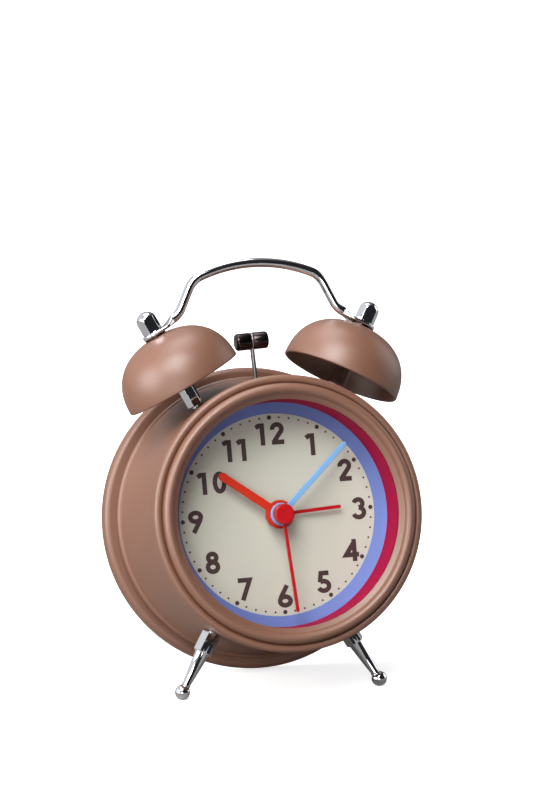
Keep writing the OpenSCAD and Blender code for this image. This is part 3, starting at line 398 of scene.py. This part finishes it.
makeBezel(bezel)

# Bells: a domed shell on a slanted axis, with a rounded rim.
bells = {
    "tilt": 27.8, "depth": 7.0, "axisHeight": -5.5748, "rimAt": 51.08,
    "radius": 17.9, "height": 16.3, "wall": 0.9, "power": 2.35,
    "hole": 1.6, "holeGap": 0.1, "low": 3, "steps": 48, "rimSteps": 12, "count": 180,
}


def bellPlace(side, along=0.0):
    centre, axes = placeOf((0, bells["depth"], bells["axisHeight"]), side * bells["tilt"])
    return centre + axes[2] * along, axes


def bellCurve(radius, height, power, low, steps):
    # radius cos^(2/p) out and height sin^(2/p) up, from just above the rim to the crown
    a = np.radians(np.linspace(low, 90, steps))
    return np.stack([radius * np.cos(a) ** (2 / power), height * np.sin(a) ** (2 / power)], -1)


def makeBell(b, side, name):
    half = b["wall"] / 2
    shape = (b["power"], b["low"], b["steps"])
    outer = bellCurve(b["radius"], b["height"], *shape)
    inner = bellCurve(b["radius"] - b["wall"], b["height"] - b["wall"], *shape)[::-1]
    rim = bow((b["radius"] - half, half), (half, half), 180, 360, b["rimSteps"])
    outer = outer[outer[:, 1] > half]
    inner = inner[inner[:, 1] > half]
    hole, clear = b["hole"], b["hole"] + b["holeGap"]
    outer = np.concatenate([outer[outer[:, 0] > clear], [(hole, b["height"])]])
    inner = np.concatenate([[(hole, b["height"] - b["wall"])], inner[inner[:, 0] > clear]])
    points, faces = turned(np.concatenate([rim, outer, inner]), bellPlace(side, b["rimAt"]), b["count"], True)
    addPiece(name, points, faces, "paint", "case", ["bell_left" if side < 0 else "bell_right"], 50)


makeBell(bells, -1, "bellLeft")
makeBell(bells, 1, "bellRight")
print("bezel and bells")

# Bell posts, washers and cap nuts, all on the bells' axes.
posts = {
    "flats": 4.4, "base": 44.127, "shoulder": 66.38, "stud": 1.5, "foot": 39.2, "top": 72.2,
    "chamfer": 0.25, "studChamfer": 0.2, "faceInset": 0.1,
}
caps = {
    "seat": 68.98, "flats": 5.5, "high": 6.5, "domeHigh": 2.95, "domeSteps": 22,
    "chamfer": 0.2, "faceInset": 0.1,
}
washers = {"at": 67.38, "hole": 1.6, "wide": 3.4, "thick": 0.4, "round": 0.12}


def makePost(p, side, name):
    wide, face = cornerOf(p["flats"]), p["flats"] / 2 - p["faceInset"]
    cut, tip, stud = p["chamfer"], p["studChamfer"], p["stud"]
    profile = [(0, p["foot"]), (stud - tip, p["foot"]), (stud, p["foot"] + tip), (stud, p["base"]),
               (face, p["base"]), (wide, p["base"] + cut), (wide, p["shoulder"] - cut),
               (face, p["shoulder"]), (stud, p["shoulder"]), (stud, p["top"]), (0, p["top"])]
    points, faces = turned(profile, bellPlace(side), 96, False, sixFlats(p["flats"]))
    addPiece(name, points, faces, "chrome", "case", ["post_left" if side < 0 else "post_right"], 20)


def makeCap(c, side, name):
    wide = cornerOf(c["flats"]) * cornerKnock
    low, face = c["seat"], c["flats"] / 2 - c["faceInset"]
    # the dome is as wide as the corners, so the flats end in arches on it
    dome = bow((0, low + c["high"] - c["domeHigh"]), (wide, c["domeHigh"]), 0, 90, c["domeSteps"])
    profile = np.concatenate([[(0, low), (face, low), (wide, low + c["chamfer"])], dome])
    profile[-1, 0] = 0
    points, faces = turned(profile, bellPlace(side), 96, False, sixFlats(c["flats"]))
    addPiece(name, points, faces, "chrome", "case", ["cap_nuts"], 24)


def makeWasher(w, side, name):
    low, high = w["at"], w["at"] + w["thick"]
    profile = softened([(w["hole"], low), (w["wide"], low), (w["wide"], high), (w["hole"], high)], w["round"])
    points, faces = turned(profile, bellPlace(side), 72, True)
    addPiece(name, points, faces, "black_nickel", "case", ["bell_washers"], 40)


for side, word in ((-1, "Left"), (1, "Right")):
    makePost(posts, side, "post" + word)
    makeCap(caps, side, "capNut" + word)
    makeWasher(washers, side, "washer" + word)

# Handle: one rod swept along an arch, a corner, a side and a bend, pressed flat under each cap nut.
handle = {
    "rod": 1.4, "tabHalf": 3.6, "tabThick": 1.2, "tabFrom": 7.0, "slope": 64.5, "archEnd": 22.0,
    "corner": 7.5, "bend": 6.5, "rise": 21.9, "tabAt": 67.78, "crownAt": 67.38, "section": 28, "lift": 0.15,
    "pressLead": 1.0, "pressLong": 4.2, "square": 0.55, "endSharp": 6, "steps": (30, 16, 16, 22, 16),
}


def handleHalf(h):
    # centre line (x, z) and slope from the top of the arch to the tab, as in the model's own rod
    sin, cos = (lambda a: math.sin(math.radians(a))), (lambda a: math.cos(math.radians(a)))
    archSteps, cornerSteps, bendSteps, tabSteps, endSteps = h["steps"]
    tilt, slope, arch = bells["tilt"], h["slope"], h["archEnd"]
    out = np.array([sin(tilt), cos(tilt)])
    along = np.array([cos(tilt), -sin(tilt)])
    tall = h["rod"] + h["lift"]
    base = np.array([0, bells["axisHeight"]])
    tabEnd = base + out * (h["tabAt"] + tall) - along * h["tabFrom"]
    top = (base + out * h["crownAt"])[1] + h["rise"] - h["rod"]
    goX = tabEnd[0] - h["corner"] * (sin(slope) - sin(arch)) - h["bend"] * (sin(slope) - sin(tilt))
    goZ = top - tabEnd[1] - h["corner"] * (cos(arch) - cos(slope)) - h["bend"] * (cos(tilt) - cos(slope))
    both = sin(arch) * sin(slope) - cos(slope) * (1 - cos(arch))
    big = (goX * sin(slope) - goZ * cos(slope)) / both
    straight = (goZ * sin(arch) - goX * (1 - cos(arch))) / both
    cornerAt = np.array([(big - h["corner"]) * sin(arch), top - big + (big - h["corner"]) * cos(arch)])
    start = cornerAt + h["corner"] * np.array([sin(slope), cos(slope)])
    end = start + straight * np.array([cos(slope), -sin(slope)])
    bendAt = end + h["bend"] * np.array([sin(slope), cos(slope)])

    def ring(centre, radius, first, last, steps):
        a = np.linspace(first, last, steps)
        line = np.stack([np.cos(np.radians(a)), np.sin(np.radians(a))], -1) * radius + centre
        return line, a
    archLine, archAngle = ring(np.array([0, top - big]), big, 90, 90 - arch, archSteps)
    cornerLine, cornerAngle = ring(cornerAt, h["corner"], 90 - arch, 90 - slope, cornerSteps)
    bendLine, bendAngle = ring(bendAt, h["bend"], 270 - slope, 270 - tilt, bendSteps)
    # reach runs down to 0 at the bell's axis and on to minus tabHalf at the tab's round end
    reach = np.concatenate([np.linspace(h["tabFrom"], 0, tabSteps)[1:],
                            -h["tabHalf"] * np.sin(np.linspace(0, np.pi / 2, endSteps))[1:]])
    tabLine = tabEnd + (h["tabFrom"] - reach)[:, None] * along
    slopes = np.concatenate([archAngle - 90, cornerAngle[1:] - 90, bendAngle - 270,
                             np.full(len(reach), -tilt)])
    rodLine = np.concatenate([archLine, cornerLine[1:], bendLine])
    reach = np.concatenate([np.full(len(rodLine), np.inf), reach])
    press = np.clip((h["tabFrom"] + h["pressLead"] - reach) / h["pressLong"], 0, 1)
    press = press * press * (3 - 2 * press)
    half = np.sqrt(np.clip(1 - np.clip(-reach / h["tabHalf"], 0, 1) ** 2, 0, 1))
    return np.concatenate([rodLine, tabLine]), slopes, press, half


def makeHandle(h):
    # section: thickness along the normal and width along the clock's depth,
    # a circle that becomes a flat oval
    line, slope, press, half = handleHalf(h)
    normal = np.stack([np.sin(np.radians(-slope)), np.cos(np.radians(slope))], -1)
    thick = h["rod"] + (h["tabThick"] / 2 - h["rod"]) * press
    wide = (h["rod"] + (h["tabHalf"] - h["rod"]) * press) * half
    thick = thick * np.minimum(1, half * h["endSharp"])
    tall = h["rod"] + h["lift"]
    line = line - normal * ((tall - h["tabThick"] / 2) * press)[:, None]
    line = np.concatenate([line[:0:-1] * (-1, 1), line])
    normal = np.concatenate([normal[:0:-1] * (-1, 1), normal])
    thick, wide, press = (np.concatenate([a[:0:-1], a]) for a in (thick, wide, press))
    t = np.linspace(0, 2 * np.pi, h["section"], endpoint=False)
    power = (1 - h["square"] * press)[:, None]
    upward = np.sign(np.cos(t)) * np.abs(np.cos(t)) ** power * thick[:, None]
    sideways = np.sign(np.sin(t)) * np.abs(np.sin(t)) ** power * wide[:, None]
    x = line[:, :1] + normal[:, :1] * upward
    z = line[:, 1:] + normal[:, 1:] * upward
    points = np.stack([x, bells["depth"] + sideways, z], -1).reshape(-1, 3)
    faces = gridFaces(len(line), h["section"]).tolist()
    addPiece("handleRod", points, faces, "chrome", "case", ["handle"], 50)


makeHandle(handle)

# Legs: a hexagon, a slender cone and a ball foot.
legs = {
    "splay": 31.0, "depth": 7.0, "start": 39.22, "flats": 5.0, "hexLong": 6.2, "topCut": 0.08, "lowCut": 0.32,
    "topRadius": 2.1, "neckRadius": 1.25, "ball": 2.25, "reach": 58.22, "stud": 1.5, "inside": 34.69,
    "faceInset": 0.1, "ballSteps": 26,
    "shoulder": [(0.02, 0.06), (-0.02, 0.3)],  # added to the cone's top radius, and below the hexagon
    "collar": [(0.0, 0.9), (0.12, 0.55), (0.12, 0.25)],  # added to the neck's radius, and above the ball
}


def makeLeg(g, side, name):
    wide, flat = cornerOf(g["flats"]), g["flats"] / 2
    low, cone = g["start"], g["start"] + g["hexLong"]
    neck = math.degrees(math.asin(g["neckRadius"] / g["ball"]))
    ball = bow((0, g["reach"]), (g["ball"],) * 2, neck - 90, 90, g["ballSteps"])
    shoulder = [(g["topRadius"] + out, cone + down) for out, down in g["shoulder"]]
    collar = [(g["neckRadius"] + out, ball[0, 1] - up) for out, up in g["collar"]]
    profile = np.concatenate([
        [(0, g["inside"]), (g["stud"], g["inside"]), (g["stud"], low), (flat, low), (wide, low + g["topCut"]),
         (wide, cone - g["lowCut"]), (flat - g["faceInset"], cone)], shoulder, collar, ball])
    profile[-1, 0] = 0
    place = placeOf((0, g["depth"], 0), side * (180 - g["splay"]))
    points, faces = turned(profile, place, 96, False, sixFlats(g["flats"]))
    addPiece(name, points, faces, "chrome", "case", ["leg_left" if side < 0 else "leg_right"], 24)


makeLeg(legs, -1, "legLeft")
makeLeg(legs, 1, "legRight")
print("posts, handle and legs")

# Hammer head: two dark barrels either side of a bright waist.
hammer = {
    "pivot": (0, 9.0, 14.0), "rest": -3.2, "arm": 37.66, "radius": 2.55, "half": 4.9,
    "groove": 0.5, "round": 0.75, "roundSteps": 8, "faceShare": 0.35,
    "edge": [(0.3, 0.5), (0.1, 0.8), (0.0, 1.2)],  # depth in the barrel, and place in grooves
    "waistHalf": 0.24, "waistSunk": 0.12, "waistCore": 0.4, "waistRound": 0.08,
}


def makeHammer(h):
    r, e, g = h["radius"], h["half"], h["groove"]
    centre, axes = placeOf(h["pivot"], h["rest"])
    centre = centre + axes[2] * h["arm"]
    place = (centre, np.array([axes[2], axes[1], axes[0]]))
    ends = bow((r - h["round"], e - h["round"]), (h["round"],) * 2, 0, 90, h["roundSteps"])
    edge = [(r - below, g * share) for below, share in h["edge"]]
    right = np.concatenate([edge, ends, [(r * h["faceShare"], e), (0, e)]])
    left = right[::-1] * (1, -1)
    points, faces = turned(np.concatenate([left, right]), place, 96)
    addPiece("hammerBarrel", points, faces, "black_nickel", "hammer", ["hammer_head"], 30)
    half, core, rim = h["waistHalf"], h["waistCore"], r - h["waistSunk"]
    waist = softened([(core, -half), (rim, -half), (rim, half), (core, half)], h["waistRound"])
    points, faces = turned(waist, place, 96, True)
    addPiece("hammerWaist", points, faces, "steel", "hammer", (), 30)


makeHammer(hammer)
print("hammer")

# Printed dial: dots and upright numbers, turned a little against the case.
dialPrint = {
    "turn": 1.3, "dotRing": 28.5, "hourDot": 0.65, "minuteDot": 0.3, "proud": 0.035, "sunk": 0.05,
    "layer": 0.004, "dotSides": 16, "tall": 6.5, "stroke": 1.38, "gap": 1.75, "widen": 1.06,
    "centres": {12: (-0.1, 23.7), 1: (11.9, 19.7), 2: (21.65, 11.45), 3: (25.0, -0.1),
                4: (21.6, -12.2), 5: (12.4, -20.7), 6: (0.3, -24.0), 7: (-11.6, -20.8),
                8: (-20.6, -12.4), 9: (-24.6, -0.1), 10: (-18.7, 10.7), 11: (-11.2, 19.6)},
}


def numberLines(tall, stroke):
    # centre lines of each figure's strokes, with the figure's width; x to the right and z up from its foot
    e, top = stroke / 2, tall - stroke / 2
    sixBowl = bow((1.95, 1.95), (1.5, 1.95 - e), 150, 510, 30)
    six = [sixBowl, np.array([(2.75, tall), (0.62, 2.75)])]
    wide = 3.95
    nine = [(wide, tall) - line for line in six]
    return {
        "0": ([bow((2.0, tall / 2), (2.0 - e, tall / 2 - e), 90, 450, 40)], 4.0),
        "1": ([np.array([(0, top - 0.55), (0.8, top - 0.02), (1.9, top - 0.02)]),
               np.array([(1.8, 0), (1.8, tall)])], 2.45),
        "2": ([np.concatenate([bow((1.95, 4.55), (1.32, 1.3), 188, -32, 20), [(0.75, e + 0.05)]]),
               np.array([(0.25, e), (3.8, e)])], 3.9),
        "3": ([bow((1.8, 4.66), (1.25, 1.19), 165, -88, 20),
               bow((1.8, 2.06), (1.5, 1.41), 88, -165, 22)], 3.9),
        "4": ([np.array([(3.3, top + 0.1), (0.55, 1.95), (4.3, 1.95)]),
               np.array([(3.05, 0), (3.05, tall)])], 4.4),
        "5": ([np.array([(3.5, top), (1.25, top), (0.85, 3.2)]),
               bow((1.85, 2.05), (1.5, 1.4), 128, -160, 24)], 3.9),
        "6": (six, wide),
        "7": ([np.array([(0.1, top), (3.5, top), (1.2, 0)])], 3.9),
        "8": ([bow((1.95, 4.72), (1.15, 1.13), 90, 450, 30),
               bow((1.95, 2.0), (1.42, 1.35), 90, 450, 32)], 3.9),
        "9": (nine, wide),
    }


mitreLeast = 0.45  # keeps a sharp corner's mitre short


def stripe(line, half, front, back):
    # a flat strip along a line (x, z), mitred at corners, between two depths
    line = np.asarray(line, float)
    closed = np.allclose(line[0], line[-1])
    step = np.diff(line, axis=0)
    step = step / np.linalg.norm(step, axis=1, keepdims=True)
    before = np.concatenate([step[-1:] if closed else step[:1], step])
    after = np.concatenate([step, step[:1] if closed else step[-1:]])
    along = before + after
    along = along / np.linalg.norm(along, axis=1, keepdims=True)
    side = np.stack([along[:, 1], -along[:, 0]], -1)
    reach = half / np.clip((along * before).sum(1), mitreLeast, 1)
    left, right = line - side * reach[:, None], line + side * reach[:, None]

    def lay(edge, depth):
        return np.stack([edge[:, 0], np.full(len(edge), depth), edge[:, 1]], -1)
    grid = np.stack([lay(left, front), lay(right, front), lay(right, back), lay(left, back)], 1)
    faces = gridFaces(len(line), 4).tolist()
    if not closed:
        last = 4 * (len(line) - 1)
        faces += [[0, 1, 2, 3], [last + 3, last + 2, last + 1, last]]
    return grid.reshape(-1, 3), faces


def turnDial(points, degrees):
    # the print's own frame to the case's, about the dial's centre
    a = math.radians(degrees)
    points = np.array(points, float)
    x, z = points[..., 0].copy(), points[..., 2].copy()
    points[..., 0], points[..., 2] = x * math.cos(a) - z * math.sin(a), x * math.sin(a) + z * math.cos(a)
    return points


def makeNumbers(d):
    shapes = numberLines(d["tall"], d["stroke"])
    for number, (x, z) in d["centres"].items():
        figures = str(number)
        widths = [shapes[f][1] * d["widen"] for f in figures]
        total = sum(widths) + d["gap"] * (len(figures) - 1)
        left, parts = x - total / 2, []
        for figure, width in zip(figures, widths):
            for k, line in enumerate(shapes[figure][0]):
                # each stroke stands a hair prouder than the last, so that no two faces share a plane
                place = line * (d["widen"], 1) + (left, z - d["tall"] / 2)
                extra = d["layer"] * k
                points, faces = stripe(place, d["stroke"] / 2, -d["proud"] - extra, d["sunk"] + extra)
                parts.append((turnDial(points, d["turn"]), faces))
            left += width + d["gap"]
        points, faces = joined(parts)
        addPiece("number" + figures, points, faces, None, "case", (), 30, inkFinish)


def makeDots(d):
    parts = []
    for minute in range(60):
        a = math.radians(6 * minute)
        radius = d["hourDot"] if minute % 5 == 0 else d["minuteDot"]
        place = placeOf((d["dotRing"] * math.sin(a), 0, d["dotRing"] * math.cos(a)), 0, "case")
        profile = [(0, -d["proud"]), (radius, -d["proud"]), (radius, d["sunk"]), (0, d["sunk"])]
        points, faces = turned(profile, place, d["dotSides"])
        parts.append((turnDial(points, d["turn"]), faces))
    points, faces = joined(parts)
    addPiece("minuteDots", points, faces, None, "case", (), 30, inkFinish)


makeNumbers(dialPrint)
makeDots(dialPrint)
print("dial print")

# Hands: pressed blades with softened edges. Angles run clockwise from 12; y is the back of the blade.
hands = {
    "alarm": {"node": "alarm_hand", "slot": "hand_red", "at": 85.9, "long": 19.1, "wide": 1.0, "hub": 4.0,
              "y": -1.6},
    "hour": {"node": "hour_hand", "slot": "hand_hour", "at": 305.5, "long": 21.6, "wide": 2.4, "hub": 4.2,
             "y": -3.2},
    "minute": {"node": "minute_hand", "slot": "hand_minute", "at": 46.1, "long": 28.8, "wide": 1.6,
               "hub": 3.3, "y": -4.8},
    "second": {"node": "second_hand", "slot": "hand_red", "at": 174.6, "long": 28.8, "wide": 1.0, "hub": 2.6,
               "y": -6.4},
}
blade = {"thick": 0.4, "edge": 0.13, "hubSteps": 60, "sideSteps": 12, "tipSteps": 14}
centreCap = {"radius": 3.0, "front": -8.6, "back": -6.6, "round": 0.45, "roundSteps": 8, "dish": 0.08,
             "dishShare": 0.6, "dishStep": 0.3}


def handOutline(h, b, shrink):
    # hub arc, straight side, round tip and back, in (along, across), each edge moved in by shrink
    half, hub = h["wide"] / 2 - shrink, h["hub"] - shrink
    opening = math.degrees(math.asin(half / hub))
    start = hub * math.cos(math.radians(opening))
    end = h["long"] - h["wide"] / 2
    side = np.linspace(start, end, b["sideSteps"])[1:-1]
    edge = np.full(len(side), half)
    return np.concatenate([
        bow((0, 0), (hub, hub), opening, 360 - opening, b["hubSteps"]), np.stack([side, -edge], -1),
        bow((end, 0), (half, half), -90, 90, b["tipSteps"]), np.stack([side[::-1], edge], -1)])


def makeHand(name, h, b):
    a = math.radians(h["at"])
    outer, inner = handOutline(h, b, 0), handOutline(h, b, b["edge"])
    front = h["y"] - b["thick"]
    # the last row becomes one point at the hub, which closes the front
    rows = [(outer * 0, h["y"]), (outer, h["y"]), (outer, front + b["edge"]), (inner, front), (inner, front)]
    grid = np.stack([np.stack([p[:, 0] * math.sin(a) + p[:, 1] * math.cos(a), np.full(len(p), y),
                               p[:, 0] * math.cos(a) - p[:, 1] * math.sin(a)], -1) for p, y in rows])
    grid[-1] = (0, front, 0)
    points, faces = grid.reshape(-1, 3), gridFaces(len(rows), len(outer)).tolist()
    if name == "second":
        c = centreCap
        corner = (c["radius"] - c["round"], -c["front"] - c["round"])
        rim = bow(corner, (c["round"],) * 2, 0, 90, c["roundSteps"]) * (1, -1)
        dish = [(c["radius"] * c["dishShare"], c["front"] + c["dish"] * c["dishStep"]),
                (0, c["front"] + c["dish"])]
        profile = np.concatenate([[(0, c["back"]), (c["radius"], c["back"])], rim, dish])
        points, faces = joined([(points, faces), turned(profile, placeOf((0, 0, 0), 0, "case"), 96)])
    addPiece(name + "Blade", points, faces, h["slot"], name, [h["node"]], 35)


for name, hand in hands.items():
    makeHand(name, hand, blade)
print("hands")

# Back: knob faces and moulded rings on the cover.
back = {
    "knobs": {"time": 20.0, "alarm": 160.0}, "reach": 12.0, "knobTop": 37.5,
    "faceRadius": 3.9, "faceRise": 0.45,
    "faceSteps": [(0.0, -0.15), (-0.2, 0.0), (-0.7, 0.0), (-1.2, -0.25)],  # added to the radius and the rise
    "dish": 0.3, "sunk": 0.2, "barHalf": (2.2, 0.35), "barProud": 0.05,
    "coverRing": (36.5, 0.45, 0.5), "knobRing": (8.2, 0.35, 0.35),  # radius, half width and rise
    "coverBack": 32.6, "ringSunk": 0.15, "ringRound": 0.15,
}


def knobCentre(b, which, y):
    a = math.radians(b["knobs"][which])
    return (b["reach"] * math.cos(a), y, -b["reach"] * math.sin(a))


def makeBack(b):
    for which, body in (("time", "time_setter"), ("alarm", "alarm_setter")):
        place = placeOf(knobCentre(b, which, b["knobTop"]), 0, "case")
        radius, rise = b["faceRadius"], b["faceRise"]
        steps = [(radius + out, rise + up) for out, up in b["faceSteps"]]
        face = [(0, -b["sunk"]), (radius, -b["sunk"]), *steps, (0, rise - b["dish"])]
        long, half = b["barHalf"]
        bar = stripe([(-long, 0), (long, 0)], half, b["knobTop"] + rise - b["barProud"], b["knobTop"])
        shift = np.array(knobCentre(b, which, 0))
        points, faces = joined([turned(face, place, 72), (bar[0] + shift, bar[1])])
        addPiece(which + "KnobFace", points, faces, "black_plastic", body, (), 30)
    low, parts = b["coverBack"] - b["ringSunk"], []
    knobPlaces = [knobCentre(b, which, 0) for which in b["knobs"]]
    for (radius, half, rise), places in ((b["coverRing"], [(0, 0, 0)]), (b["knobRing"], knobPlaces)):
        high = low + rise + b["ringSunk"]
        profile = softened([(radius - half, low), (radius + half, low), (radius + half, high),
                            (radius - half, high)], b["ringRound"])
        parts += [turned(profile, placeOf(place, 0, "case"), 144, True) for place in places]
    points, faces = joined(parts)
    addPiece("coverRings", points, faces, "black_plastic", "case", (), 40)


makeBack(back)
print("back details")

# Floor, light and background. One sheet of floor is what the eye sees, fading to plain white behind;
# the other lies just under it and is what the clock mirrors and is lit by.
floors = [
    {"name": "floor", "half": 4.0, "height": 0.0, "near": (0.85, 0.85, 0.85, 1), "glow": (0.7, 0.7, 0.7, 1),
     "farGlow": (1, 1, 1, 1), "seen": True},
    {"name": "floorBounce", "half": 4.0, "height": -0.0005, "near": (0.85, 0.84, 0.82, 1),
     "glow": (0, 0, 0, 1), "farGlow": (0, 0, 0, 1), "seen": False},
]
lamps = [
    ("keyLight", (-0.45, -0.6, 1.0), (0.75, 0.75), 18.5, (1.0, 0.99, 0.98)),
    ("leftLight", (-1.15, -0.2, 0.3), (0.9, 0.8), 14.5, (1.0, 0.99, 0.98)),
    ("topLight", (-0.1, 0.3, 1.0), (0.6, 0.5), 4, (1.0, 1.0, 1.0)),
    ("lowLight", (-0.45, -1.1, 0.15), (0.7, 0.25), 3, (1.0, 1.0, 1.0)),
    ("rightLight", (1.2, 0.3, 0.35), (1.0, 1.0), 4.5, (1.0, 1.0, 1.0)),
]
floorFade = {"rate": 1.6, "start": 0.2, "rough": 0.9}  # the fade to white, by the distance behind in metres
lampAim = (0, 0, 0.06)
sky = {
    "dark": (0.02, 0.02, 0.022, 1), "bright": (1.0, 1.0, 1.02, 1), "seen": (1, 1, 1, 1),
    "above": 0.35, "left": 0.6, "behind": 0.4,
}


def makeFloor(s):
    h = s["half"]
    mesh = bpy.data.meshes.new(s["name"])
    mesh.from_pydata([(-h, -h, 0), (h, -h, 0), (h, h, 0), (-h, h, 0)], [], [(0, 1, 2, 3)])
    floor = bpy.data.objects.new(s["name"], mesh)
    floor.location.z = s["height"]
    scene.collection.objects.link(floor)
    f = Finish(s["name"] + "Paper")
    behind = f.node("ShaderNodeSeparateXYZ", {}, {0: f.place}, "Y")
    far = (behind * floorFade["rate"] - floorFade["start"]).clamped()
    f.close({"Base Color": s["near"], "Roughness": floorFade["rough"], "Specular IOR Level": 0.0,
             "Emission Color": f.blend(far, s["glow"], s["farGlow"]), "Emission Strength": 1.0})
    mesh.materials.append(f.material)
    for way in ("diffuse", "glossy"):
        setattr(floor, "visible_" + way, not s["seen"])
    floor.visible_camera = s["seen"]


def softLight(name, place, size, power, tint):
    data = bpy.data.lights.new(name, "AREA")
    data.shape = "RECTANGLE"
    data.size, data.size_y = size
    data.energy = power
    data.color = tint
    light = bpy.data.objects.new(name, data)
    scene.collection.objects.link(light)
    light.location = place
    light.visible_camera = False
    light.rotation_mode = "QUATERNION"
    light.rotation_quaternion = (Vector(lampAim) - Vector(place)).to_track_quat("-Z", "Y")


def makeWorld(w):
    world = bpy.data.worlds.new("studio")
    scene.world = world
    world.use_nodes = True
    tree = world.node_tree
    tree.nodes.clear()
    way = tree.nodes.new("ShaderNodeTexCoord")
    split = tree.nodes.new("ShaderNodeSeparateXYZ")
    tree.links.new(way.outputs["Generated"], split.inputs[0])
    across, forward, height = (Wire(tree, split.outputs[k]) for k in "XYZ")
    # bright to the left, behind and above, dark in front and to the right
    glow = (height * w["above"] - across * w["left"] + forward * w["behind"]).clamped()

    def mixed(factor, first, second):
        node = tree.nodes.new("ShaderNodeMix")
        node.data_type = "RGBA"
        tree.links.new(factor, node.inputs[0])
        for place, value in ((6, first), (7, second)):
            if isinstance(value, tuple):
                node.inputs[place].default_value = value
            else:
                tree.links.new(value, node.inputs[place])
        return node.outputs[2]
    ray = tree.nodes.new("ShaderNodeLightPath")
    colour = mixed(ray.outputs["Is Camera Ray"], mixed(glow.socket, w["dark"], w["bright"]), w["seen"])
    background = tree.nodes.new("ShaderNodeBackground")
    tree.links.new(colour, background.inputs["Color"])
    out = tree.nodes.new("ShaderNodeOutputWorld")
    tree.links.new(background.outputs[0], out.inputs["Surface"])


scene.view_settings.view_transform = "Standard"
for sheet in floors:
    makeFloor(sheet)
makeWorld(sky)
for name, place, size, power, tint in lamps:
    softLight(name, place, size, power, tint)
print("light and floor")
